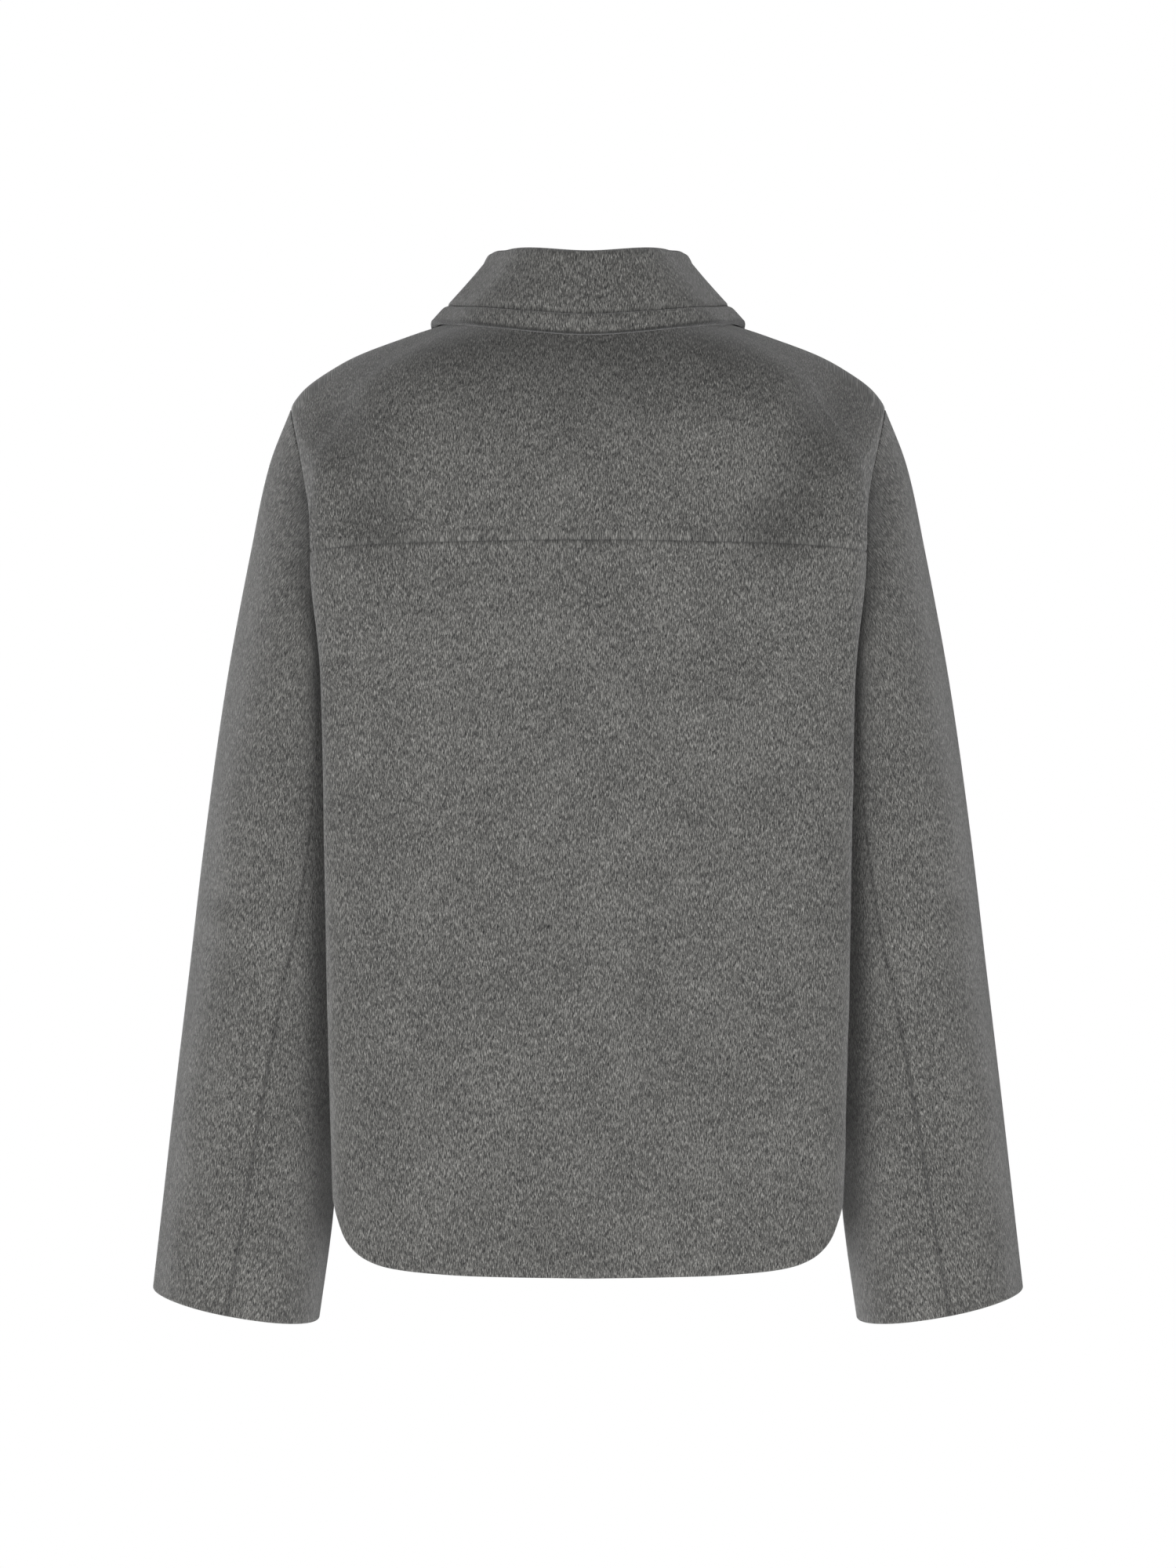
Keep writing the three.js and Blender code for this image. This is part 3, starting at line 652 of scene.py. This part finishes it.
def down_side(start):
    """Down the armhole from one of its points to the underarm, then down the side seam."""
    place, depth = armhole(np.linspace(start, UNDERARM, EDGE_SAMPLES))
    seam = np.linspace(UNDERARM_DEPTH, float(hem_depth(SIDE)), EDGE_SAMPLES)[1:]
    return np.concatenate([place, np.full_like(seam, SIDE)]), np.concatenate([depth, seam])


def back():
    place, depth = down_side(YOKE_CORNER)
    point = np.linspace(0, 2, len(place))
    centre_depth = np.interp(point, [0, 1, 2], [ARMHOLE["at"], UNDERARM_DEPTH, HEM_BACK])
    right, centre, down = edge_rows(point, place, depth, centre_depth, YOKE_ROUND)
    whole, across = lines(BACK_WIDTH, SEAM_ROUND, SEAM_ROUND)
    signed = 2 * whole - 1
    grid = filled(
        (np.zeros_like(centre), centre),
        right,
        lambda u: (u * FOLD, ARMHOLE["at"] + 0 * u),
        lambda u: (u * SIDE, hem_depth(u * SIDE)),
        np.abs(signed),
    )
    sunk = -YOKE_SINK["deep"] * np.exp(-((grid[1] - ARMHOLE["at"]) / YOKE_SINK["wide"]) ** 2)
    # Painted shade along the cross seam, the armholes and the side seams
    at_side = side_shade(grid[1])
    seam_shades = {"top": SEAM_SHADE["yoke"], "first": at_side, "last": at_side}
    return torso_panel("cloth_back", np.sign(signed) * grid[0], grid[1], down, across, seam_shades, sunk)


def side_shade(depth):
    """The armhole's edge is soft, and the side seam below it sharper; the painted shade is faint at the one
    and darker at the other.
    """
    below = smooth(depth, UNDERARM_DEPTH - SIDE_SHADE_STARTS, UNDERARM_DEPTH + SIDE_SHADE_STARTS)
    return lerp(SEAM_SHADE["armhole"], SEAM_SHADE["side"], below)


def lap_place(depth):
    """How far the lap reaches past the centre front, as a place on the section."""
    return LAP * (1 - CHEST) / (CENTRE_RUN * torso_row["chestX"](depth))


def front(name, side, inset):
    """A front from the edge of its lap to the side; side is -1 for the wearer's right."""
    arm_place, arm_depth = armhole(YOKE_END)
    shoulder = np.linspace(0, 1, SHOULDER_SAMPLES)[:-1]
    place, depth = down_side(YOKE_END)
    place = np.concatenate([lerp(YOKE_END_AT_NECK, arm_place, shoulder), place])
    depth = np.concatenate([shoulder * arm_depth, depth])
    point = np.linspace(0, 1, len(place))
    hem_centre, hem_side = float(hem_depth(1)), float(hem_depth(SIDE))
    centre_depth = depth * hem_centre / lerp(hem_centre, hem_side, point)
    right, centre, down = edge_rows(point, place, depth, centre_depth, SEAM_ROUND)
    share, across = lines(FRONT_WIDTH + LAP, EDGE_ROUND, SEAM_ROUND)
    along = (share * (FRONT_WIDTH + LAP) - LAP) / FRONT_WIDTH
    u = np.clip(along, 0, 1)
    grid = filled(
        (np.ones_like(centre), centre),
        right,
        lambda u: (lerp(1, YOKE_END_AT_NECK, u), 0 * u),
        lambda u: (lerp(1, SIDE, u), hem_depth(lerp(1, SIDE, u))),
        u,
    )
    lap = np.clip(-along * FRONT_WIDTH / LAP, 0, 1)
    place = grid[0] + lap * lap_place(grid[1])
    raised = -inset(torso(place, grid[1])[..., 0])
    if side < 0:
        raised = raised + body_relief(place, grid[1], side) - body_relief(place, grid[1])
    centre_column = int(np.argmin(np.abs(along)))
    # Painted shade along the neck seam, the armhole and the side seam
    seam_shades = {"top": SEAM_SHADE["neck"], "last": side_shade(grid[1])}
    return torso_panel(name, place, grid[1], down, across, seam_shades, raised, grain_column=centre_column)


def under_lap(x):
    """The lower front lies a cloth deeper where the upper one covers it."""
    return (CLOTH + LAP_GAP) * smooth(LAP + LAP_COVER + LAP_RUNOUT - x, 0, LAP_RUNOUT)


# Sleeves
sleeve_row = curves(SLEEVE, "z")
back_seam_angle = curve(BACK_SEAM_ANGLES["z"], BACK_SEAM_ANGLES["angle"])


def sleeve_section(degrees, z):
    row = {name: value(z) for name, value in sleeve_row.items()}
    angle = np.radians(degrees)
    x = lerp(row["inner"], row["outer"], (1 + np.cos(angle)) / 2)
    return points(x, lerp(row["front"], row["back"], (1 + np.sin(angle)) / 2), z)


def sleeve_angle(line, z):
    line = np.mod(line, ARMHOLE_POINTS)
    back_angle = back_seam_angle(z)
    under = (line - BACK_SEAM_POINT) / (FRONT_SEAM_POINT - BACK_SEAM_POINT)
    over = (line - FRONT_SEAM_POINT) / (ARMHOLE_POINTS - FRONT_SEAM_POINT)
    return np.where(
        line <= BACK_SEAM_POINT,
        back_angle * line / BACK_SEAM_POINT,
        np.where(
            line <= FRONT_SEAM_POINT,
            lerp(back_angle, FRONT_SEAM_ANGLE, under),
            lerp(FRONT_SEAM_ANGLE, 360, over),
        ),
    )


def sleeve_grain(line, z):
    """Cloth coordinates of a sleeve: round it at its middle height, and straight down."""
    turn = np.degrees(np.linspace(0, 2 * math.pi, SLEEVE_SAMPLES))
    run = run_along(sleeve_section(turn, SLEEVE_MIDDLE + 0 * turn))
    return np.stack([np.interp(sleeve_angle(line, z), turn, run), -z], -1)


def sleeve_start(line, side):
    """Where each line of the sleeve leaves the armhole, on the body's creased cloth."""
    place, depth = armhole(line)
    normal = torso_normal(place, depth)
    along = torso(*armhole(line + 1)) - torso(*armhole(line - 1))
    into_hole = unit(np.cross(along, normal))
    point = torso(place, depth) + normal * body_relief(place, depth, side)[..., None]
    return point + unit(normal + into_hole) * SLEEVE_GAP


def body_edge(side):
    """How far out the body's edge beside the sleeve lies at a height."""
    start = sleeve_start(np.linspace(1, BACK_SEAM_POINT, BODY_EDGE_SAMPLES), side)
    return curve(start[:, 2], start[:, 0])


def cuff_height(line):
    angle = sleeve_angle(line, CUFF["middle"])
    middle = (sleeve_section(0, CUFF["middle"]) + sleeve_section(180, CUFF["middle"])) / 2
    across = sleeve_section(angle, CUFF["middle"] + 0 * angle) - middle
    return CUFF["middle"] + CUFF["outward"] * across[..., 0] + CUFF["backward"] * across[..., 1]


def sleeve_relief(grid, normal, hand):
    x, z = grid[..., 0], grid[..., 2]
    back = smooth(normal[..., 1], *FACING["sleeve"])
    front = smooth(-normal[..., 1], *FACING["sleeve"])
    made = back * creases(SLEEVE_CREASES[hand], x, z)
    made += front * FRONT_OF_SLEEVE["share"] * creases(SLEEVE_CREASES[hand], x, z + FRONT_OF_SLEEVE["lower"])
    return made + (back + front) * ripple(x, z)


def sleeve_piece(name, hand, first, last, width, back_side):
    """A sleeve piece between two of the sleeve's lines, with the back seam on its side back_side."""
    side = 1 if hand == "left" else -1
    share, across = lines(width, SEAM_ROUND, SEAM_ROUND)
    line = lerp(first, last, share)
    drop, down = lines(SLEEVE_LENGTH, SEAM_ROUND, EDGE_ROUND)
    start = sleeve_start(line, side)
    z = lerp(start[:, 2], cuff_height(line), drop[:, None])
    level = sleeve_section(sleeve_angle(line, z), z)
    offset = start - sleeve_section(sleeve_angle(line, start[:, 2]), start[:, 2])
    ease = np.exp((z - start[:, 2]) / HEAD_EASE)
    outer = level + offset * ease[..., None]
    normal = -grid_normals(outer)
    raised = sleeve_relief(outer, normal, hand) * (1 - ease)
    away = outer[..., 0] - body_edge(side)(z)
    started = smooth(z, SLEEVE_FOLD["top"], SLEEVE_FOLD["full"])
    ended = smooth(z, SLEEVE_FOLD["low"], SLEEVE_FOLD["end"])
    # Painted shade on the sleeve beside the body's edge, where the body shades it
    shade = started * lerp(SLEEVE_SHADE["dark"], SLEEVE_SHADE["below"], ended)
    raised -= SLEEVE_FOLD["deep"] * started * (1 - ended) * np.exp(-(away / SLEEVE_FOLD["wide"]) ** 2)
    middle = outer + normal * (raised - CLOTH / 2)[..., None]
    # Painted shade along the sleeve's seams
    seam_shades = {"top": SEAM_SHADE["armhole"], "first": SEAM_SHADE["side"], "last": SEAM_SHADE["side"]}
    seam_shades[back_side] = SEAM_SHADE["sleeve"] * lerp(1, SEAM_SHADE["upper_sleeve"], smooth(z, *SEAM_SHADE_FADES))
    painted_shade = painted_seam_shade(middle, **seam_shades) + shade * np.exp(-(away / SLEEVE_SHADE["wide"]) ** 2)
    half = half_wall(CLOTH, down, across)
    return shell(name, middle * np.array([side, 1, 1]), half, np.minimum(painted_shade, 1), uv=sleeve_grain(line, z))


# Collar
def collar_frame(line, place):
    """Directions across a collar line: out from the neck, and up square to the line."""
    along = unit(line(place + STEP["place"]) - line(place - STEP["place"]))
    out = unit(np.cross([0, 0, 1], along))
    return out, unit(np.cross(along, out))


def stand_top(place):
    return section(STAND_TOP, place)


def stand_foot(place):
    out, _ = collar_frame(lambda at: torso(at, 0), place)
    return torso(place, 0) + np.array([0, 0, SEAM_GAP]) - out * STAND_CLOTH / 2


def stand():
    share, across = lines(STAND_LENGTH, EDGE_ROUND, EDGE_ROUND)
    place = lerp(-COLLAR_END, COLLAR_END, share)
    drop, down = lines(STAND_HEIGHT, SEAM_ROUND, SEAM_ROUND)
    middle = lerp(stand_foot(place)[None], stand_top(place)[None], drop[:, None, None])
    # Painted shade along the neck seams
    painted_shade = painted_seam_shade(middle, bottom=SEAM_SHADE["neck"], top=SEAM_SHADE["neck"])
    return shell("cloth_collar_stand", middle, half_wall(STAND_CLOTH, down, across), painted_shade)


def fall_edge(place):
    row = {name: value(np.abs(place) / COLLAR_END) for name, value in curves(FALL_EDGE, "place").items()}
    at = np.sign(place) * row["torso_place"]
    lift = FALL["off_cloth"] + COLLAR_CLOTH / 2
    return torso(at, row["depth"]) + torso_normal(at, row["depth"]) * lift


def fall():
    """The turned-down collar: up from the stand, over the roll and down to its stitched edge."""
    share, across = lines(FALL_LENGTH, EDGE_ROUND, EDGE_ROUND, fine_ends=STITCH_LINE["from_edge"])
    place = lerp(-COLLAR_END, COLLAR_END, share)
    out, up = collar_frame(stand_top, place)
    top = stand_top(place)
    lean = unit(top - stand_foot(place))
    centre = top + lean * ROLL["rise"] + out * ROLL["radius"]
    turn = np.linspace(0, math.pi, ROLL["rows"])[:, None, None]
    roll = centre + ROLL["radius"] * (np.sin(turn) * up - np.cos(turn) * out)
    u = np.linspace(0, 1, FALL["rows"])[1:, None, None]
    belly = lerp(FALL["belly"], FALL["side_belly"], smooth(np.abs(place), *FALL["to_side"]))[:, None]
    down = lerp(roll[-1], fall_edge(place), u) + out * belly * np.sin(math.pi * u) * (1 - u)
    rough = np.concatenate([(top + lean * SEAM_GAP)[None], roll, down])
    run = lengths(rough, 0)
    depth, full = lines(FALL_DEPTH, SEAM_ROUND, EDGE_ROUND, fine_at=FALL_DEPTH - STITCH_LINE["from_edge"])
    middle = np.empty((len(depth), len(place), 3))
    for i in range(len(place)):
        for axis in range(3):
            middle[:, i, axis] = np.interp(depth * run[-1, i], run[:, i], rough[:, i, axis])
    below = (1 - depth)[:, None] * run[-1]
    ends = np.minimum(share, 1 - share) * FALL_LENGTH
    edge = np.minimum(below, ends)
    groove = np.exp(-(((edge - STITCH_LINE["from_edge"]) / STITCH_LINE["wide"]) ** 2))
    strip = 1 - smooth(edge, STITCH_LINE["from_edge"] - STITCH_LINE["ramp"], STITCH_LINE["from_edge"])
    half = half_wall(COLLAR_CLOTH, full, across)
    half = half * (1 + STITCH_LINE["strip"] * strip / COLLAR_CLOTH * 2) - STITCH_LINE["deep"] * groove
    half = np.where(half_wall(1, full, across) > 0, np.maximum(half, 0), 0)
    # Painted shade in the stitched groove, and a painted shadow along the collar's lower edge
    painted_shade = SEAM_SHADE["stitch"] * groove + painted_seam_shade(middle, bottom=SEAM_SHADE["fall_edge"])
    return shell("cloth_collar_fall", middle, half, np.minimum(painted_shade, 1))


# Buttons and buttonholes
def circle(curve_data, x, y, radius):
    """A round outline of four arcs."""
    arm = radius * 4 / 3 * math.tan(math.pi / 8)
    spline = curve_data.splines.new("BEZIER")
    spline.bezier_points.add(3)
    spline.use_cyclic_u = True
    for k, point in enumerate(spline.bezier_points):
        c, s = math.cos(k * math.pi / 2), math.sin(k * math.pi / 2)
        point.co = (MM * (x + radius * c), MM * (y + radius * s), 0)
        point.handle_left = (MM * (x + radius * c + arm * s), MM * (y + radius * s - arm * c), 0)
        point.handle_right = (MM * (x + radius * c - arm * s), MM * (y + radius * s + arm * c), 0)


def as_mesh(curve_data, name):
    """A mesh object made from a curve."""
    temporary = bpy.data.objects.new(name, curve_data)
    bpy.context.scene.collection.objects.link(temporary)
    bpy.context.view_layer.update()
    mesh = bpy.data.meshes.new_from_object(temporary)
    bpy.data.objects.remove(temporary)
    made = bpy.data.objects.new(name, mesh)
    bpy.context.scene.collection.objects.link(made)
    return made


def button_disc(name):
    """A disc with rounded edges and four holes, its middle at z = 0."""
    data = bpy.data.curves.new(name, "CURVE")
    data.dimensions = "2D"
    data.fill_mode = "BOTH"
    data.resolution_u = 10
    data.extrude = MM * (BUTTON["thick"] / 2 - BUTTON["rounding"])
    data.bevel_depth = MM * BUTTON["rounding"]
    data.bevel_resolution = 3
    circle(data, 0, 0, BUTTON["radius"] - BUTTON["rounding"])
    for x, y in hole_places():
        circle(data, x, y, BUTTON["hole"] + BUTTON["rounding"])
    return as_mesh(data, name)


def hole_places():
    turns = [math.pi / 4 + k * math.pi / 2 for k in range(4)]
    return [(BUTTON["hole_out"] * math.cos(t), BUTTON["hole_out"] * math.sin(t)) for t in turns]


def tube(name, paths, radius, closed):
    """Thin round tubes along paths of points, in millimetres."""
    data = bpy.data.curves.new(name, "CURVE")
    data.dimensions = "3D"
    data.bevel_depth = MM * radius
    data.bevel_resolution = 2
    data.use_fill_caps = True
    for path in paths:
        spline = data.splines.new("POLY")
        spline.points.add(len(path) - 1)
        spline.use_cyclic_u = closed
        for point, (x, y, z) in zip(spline.points, path):
            point.co = (MM * x, MM * y, MM * z, 1)
    return as_mesh(data, name)


def rim(name):
    out = BUTTON["radius"] - RIM["from_edge"]
    high = BUTTON["thick"] / 2 - RIM["sunk"]
    turn = np.linspace(0, 2 * math.pi, RIM["points"], endpoint=False)
    path = [(out * math.cos(t), out * math.sin(t), high) for t in turn]
    return tube(name, [path], RIM["radius"], True)


def stitches(name):
    """Two crossed stitches, each between opposite holes."""
    holes = hole_places()
    low, high = -THREAD["under"], BUTTON["thick"] / 2 + THREAD["over"]
    start, arch = THREAD["arch_from"], high + THREAD["arch"]
    shares = ((0, low), (0, high), (start, arch), (1 - start, arch), (1, high), (1, low))
    paths = []
    for (x0, y0), (x1, y1) in (holes[::2], holes[1::2]):
        paths.append([(lerp(x0, x1, u), lerp(y0, y1, u), z) for u, z in shares])
    return tube(name, paths, THREAD["radius"], False)


def button_place(z, seat):
    """The turn and the middle of a button on the front."""
    depth = front_depth(z)
    normal = torso_normal(1.0, depth)
    middle = torso(1.0, depth) + normal * (seat + BUTTON["thick"] / 2)
    return Vector(normal).to_track_quat("Z", "Y").to_matrix().to_4x4(), Vector(middle * MM)


def button(number, z, seat):
    """The disc, the raised rim and the thread of a button, in place."""
    turn, middle = button_place(z, seat)
    made = (
        button_disc(f"button_disc_{number}"),
        rim(f"button_rim_{number}"),
        stitches(f"button_thread_{number}"),
    )
    for part in made:
        part.data.transform(turn)
        part.data.transform(Matrix.Translation(middle))
        part.data.polygons.foreach_set("use_smooth", np.ones(len(part.data.polygons), bool))
    return made


def buttonhole(number, z):
    """A corded slot in the upper front, from just inside the button outwards."""
    depth = float(front_depth(z))
    half_length = BUTTONHOLE["length"] / 2
    middle = half_length - BUTTONHOLE["in_edge"]
    path = []
    for turn in np.linspace(0, 2 * math.pi, BUTTONHOLE["points"], endpoint=False):
        end = math.copysign(abs(math.cos(turn)) ** BUTTONHOLE["blunt"], math.cos(turn))
        across = middle + half_length * end
        down = BUTTONHOLE["half_wide"] * math.sin(turn)
        place = 1 + across * lap_place(depth) / LAP
        point = torso(place, depth + down) + torso_normal(place, depth + down) * BUTTONHOLE["raised"]
        path.append(tuple(point))
    return tube(f"buttonhole_{number}", [path], THREAD["radius"], True)


# Surface of the wool and the buttons
def node(tree, kind, inputs=None, **settings):
    made = tree.nodes.new(kind)
    for name, value in settings.items():
        setattr(made, name, value)
    for name, value in (inputs or {}).items():
        if isinstance(value, bpy.types.NodeSocket):
            tree.links.new(value, made.inputs[name])
        else:
            made.inputs[name].default_value = value
    return made


def grain(tree, coordinates, turn, scale, detail, seed):
    """Noise drawn out along the grain, turned a little to one side."""
    mapping = node(tree, "ShaderNodeMapping", {"Vector": coordinates})
    mapping.inputs["Rotation"].default_value = (0, 0, math.radians(turn))
    mapping.inputs["Scale"].default_value = (scale[0], scale[1], 1)
    mapping.inputs["Location"].default_value = (seed, -seed, 0)
    inputs = {"Vector": mapping.outputs[0], "Scale": 1.0, "Detail": detail, "Roughness": 0.6}
    return node(tree, "ShaderNodeTexNoise", inputs, noise_dimensions="2D").outputs["Fac"]


def maths(tree, operation, a, b):
    return node(tree, "ShaderNodeMath", {0: a, 1: b}, operation=operation).outputs[0]


def ranged(tree, value, low, high, to_low, to_high):
    """The value's share of the way from low to high, turned into a number from to_low to to_high."""
    inputs = {"Value": value, "From Min": low, "From Max": high, "To Min": to_low, "To Max": to_high}
    return node(tree, "ShaderNodeMapRange", inputs, clamp=True).outputs[0]


def wool_material():
    """Brushed melange: light and dark fibres lying down the grain, over softer clouds."""
    material = bpy.data.materials.new("wool")
    material.use_nodes = True
    tree = material.node_tree
    shader = tree.nodes["Principled BSDF"]
    coordinates = node(tree, "ShaderNodeUVMap", uv_map="grain").outputs[0]
    noises, share = [], 0.5
    for lean, across, along, detail, seed, low, high, at_low, at_high in zip(*NAP.values()):
        noises.append(grain(tree, coordinates, lean, (across, along), detail, seed))
        share = maths(tree, "ADD", ranged(tree, noises[-1], low, high, at_low, at_high), share)
    ramp = node(tree, "ShaderNodeValToRGB", {"Fac": share})
    ramp.color_ramp.elements[0].color = (*WOOL["darkest"], 1)
    ramp.color_ramp.elements[1].color = (*WOOL["lightest"], 1)
    between = ramp.color_ramp.elements.new(0.5)
    between.color = (*WOOL["middle"], 1)
    # Painted shade: the seam attribute mixes the wool towards a dark colour at seams, grooves, creases and
    # under the collar
    painted_shade = node(tree, "ShaderNodeAttribute", attribute_name="seam").outputs["Fac"]
    pressed = node(tree, "ShaderNodeMix", {"Factor": painted_shade}, data_type="RGBA")
    tree.links.new(ramp.outputs[0], pressed.inputs[MIX_COLOR["a"]])
    pressed.inputs[MIX_COLOR["b"]].default_value = (*WOOL["pressed"], 1)
    tree.links.new(pressed.outputs[MIX_COLOR["result"]], shader.inputs["Base Color"])
    shader.inputs["Roughness"].default_value = WOOL["roughness"]
    shader.inputs["Specular IOR Level"].default_value = WOOL["specular"]
    shader.inputs["Sheen Weight"].default_value = WOOL["sheen"]
    shader.inputs["Sheen Roughness"].default_value = WOOL["sheen_roughness"]
    light, dark, lock = noises[:3]
    height = maths(tree, "ADD", maths(tree, "SUBTRACT", light, dark), lock)
    inputs = {"Height": height, "Strength": WOOL["bump"], "Distance": WOOL["relief"]}
    bump = node(tree, "ShaderNodeBump", inputs)
    tree.links.new(bump.outputs[0], shader.inputs["Normal"])
    return material


def plain_material(name, color, roughness, specular, mottle):
    """One colour, mottled at so many cells a metre."""
    material = bpy.data.materials.new(name)
    material.use_nodes = True
    tree = material.node_tree
    shader = tree.nodes["Principled BSDF"]
    place = node(tree, "ShaderNodeTexCoord").outputs["Object"]
    noise = node(tree, "ShaderNodeTexNoise", {"Vector": place, "Scale": mottle, "Detail": 4.0}).outputs["Fac"]
    ramp = node(tree, "ShaderNodeValToRGB", {"Fac": noise})
    ramp.color_ramp.elements[0].color = (*(MOTTLE["dark"] * c for c in color), 1)
    ramp.color_ramp.elements[1].color = (*(MOTTLE["light"] * c for c in color), 1)
    tree.links.new(ramp.outputs[0], shader.inputs["Base Color"])
    shader.inputs["Roughness"].default_value = roughness
    shader.inputs["Specular IOR Level"].default_value = specular
    return material


# Lights, camera, floor and backdrop
def area_light(name, place, aim, size, power):
    data = bpy.data.lights.new(name, "AREA")
    data.shape = "RECTANGLE"
    data.size, data.size_y = size
    data.energy = power
    lamp = bpy.data.objects.new(name, data)
    lamp.location = place
    lamp.rotation_euler = (Vector(aim) - Vector(place)).to_track_quat("-Z", "Y").to_euler()
    bpy.context.scene.collection.objects.link(lamp)


def studio():
    """Two keys behind the jacket, a fill before its front, the room and a pale floor."""
    aim = (0, 0, MIDDLE_Z)
    for name, side, share in (("key_left", 1, 1), ("key_right", -1, KEY["right_share"])):
        place = (side * KEY["aside"], KEY["behind"], MIDDLE_Z - KEY["lower"])
        area_light(name, place, aim, KEY["size"], share * LIGHT["key"])
    area_light("fill_front", (*FILL["place"], MIDDLE_Z), aim, FILL["size"], LIGHT["front"])
    bpy.context.scene.world = pale_room()
    corners = ((-1, -1), (1, -1), (1, 1), (-1, 1))
    vertices = np.array([[x * FLOOR["half_wide"], y * FLOOR["half_wide"], FLOOR["z"]] for x, y in corners])
    floor = mesh_object("floor", vertices, np.array([[0, 1, 2, 3]]))
    pale = plain_material("pale_floor", (0.8, 0.8, 0.8), roughness=0.8, specular=0.2, mottle=3)
    glow = pale.node_tree.nodes["Principled BSDF"].inputs
    glow["Emission Color"].default_value = (1, 1, 1, 1)
    glow["Emission Strength"].default_value = LIGHT["floor"]
    floor.data.materials.append(pale)


def pale_room():
    """A white wall before the camera, fading to a dimmer room at the sides, behind and above."""
    world = bpy.data.worlds.new("pale_room")
    world.use_nodes = True
    tree = world.node_tree
    way = node(tree, "ShaderNodeTexCoord").outputs["Generated"]
    parts = node(tree, "ShaderNodeSeparateXYZ", {"Vector": way})
    wall = ranged(tree, parts.outputs["Y"], *WALL_FADES, 1.0, LIGHT["room"])
    share = ranged(tree, parts.outputs["Z"], *CEILING_FADES, 1.0, LIGHT["ceiling"])
    tree.links.new(maths(tree, "MULTIPLY", wall, share), tree.nodes["Background"].inputs["Strength"])
    tree.nodes["Background"].inputs["Color"].default_value = (1, 1, 1, 1)
    return world


def photo_camera():
    """Level, behind the jacket, with the photo's frame at the plane of the back."""
    data = bpy.data.cameras.new("photo_camera")
    data.sensor_width = 36
    data.lens = data.sensor_width * CAMERA_AWAY / (PHOTO["height"] * PHOTO["mm_a_pixel"])
    camera = bpy.data.objects.new("photo_camera", data)
    camera.location = (0, MM * (BACK_PLANE + CAMERA_AWAY), MIDDLE_Z)
    camera.rotation_euler = (math.pi / 2, 0, math.pi)
    bpy.context.scene.collection.objects.link(camera)
    bpy.context.scene.camera = camera
    bpy.context.scene.view_settings.view_transform = "Standard"


# Putting the pieces in place
def dress(piece, cad_node, material):
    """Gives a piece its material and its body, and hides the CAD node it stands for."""
    piece.data.materials.clear()
    piece.data.materials.append(material)
    if cad_node:
        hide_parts(cad_node)
    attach(piece, "root")


studio()
photo_camera()
wool = wool_material()
horn = plain_material("horn", (0.045, 0.043, 0.041), roughness=0.5, specular=0.4, mottle=220)
thread = plain_material("thread", (0.06, 0.06, 0.058), roughness=0.9, specular=0.1, mottle=900)
cloth = {
    "yoke": yoke(),
    "back": back(),
    "front_left": front("cloth_front_left", 1, under_lap),
    "front_right": front("cloth_front_right", -1, lambda x: 0 * x),
    "collar_stand": stand(),
    "collar_fall": fall(),
}
cloth["front_right"] = turned_over(cloth["front_right"])
for hand in ("left", "right"):
    top = f"sleeve_top_{hand}"
    under = f"sleeve_under_{hand}"
    last = ARMHOLE_POINTS + BACK_SEAM_POINT
    cloth[top] = sleeve_piece(f"cloth_{top}", hand, FRONT_SEAM_POINT, last, TOP_WIDTH, "last")
    first, last = BACK_SEAM_POINT, FRONT_SEAM_POINT
    cloth[under] = sleeve_piece(f"cloth_{under}", hand, first, last, UNDER_WIDTH, "first")
for name, piece in cloth.items():
    dress(piece, name, wool)

for number, (z, seat) in enumerate(zip(BUTTONS["z"], BUTTONS["seat"]), 1):
    disc, ring, sewing = button(number, z, seat)
    dress(disc, f"button_{number}", horn)
    dress(ring, None, horn)
    dress(sewing, None, thread)
    dress(buttonhole(number, z), None, thread)
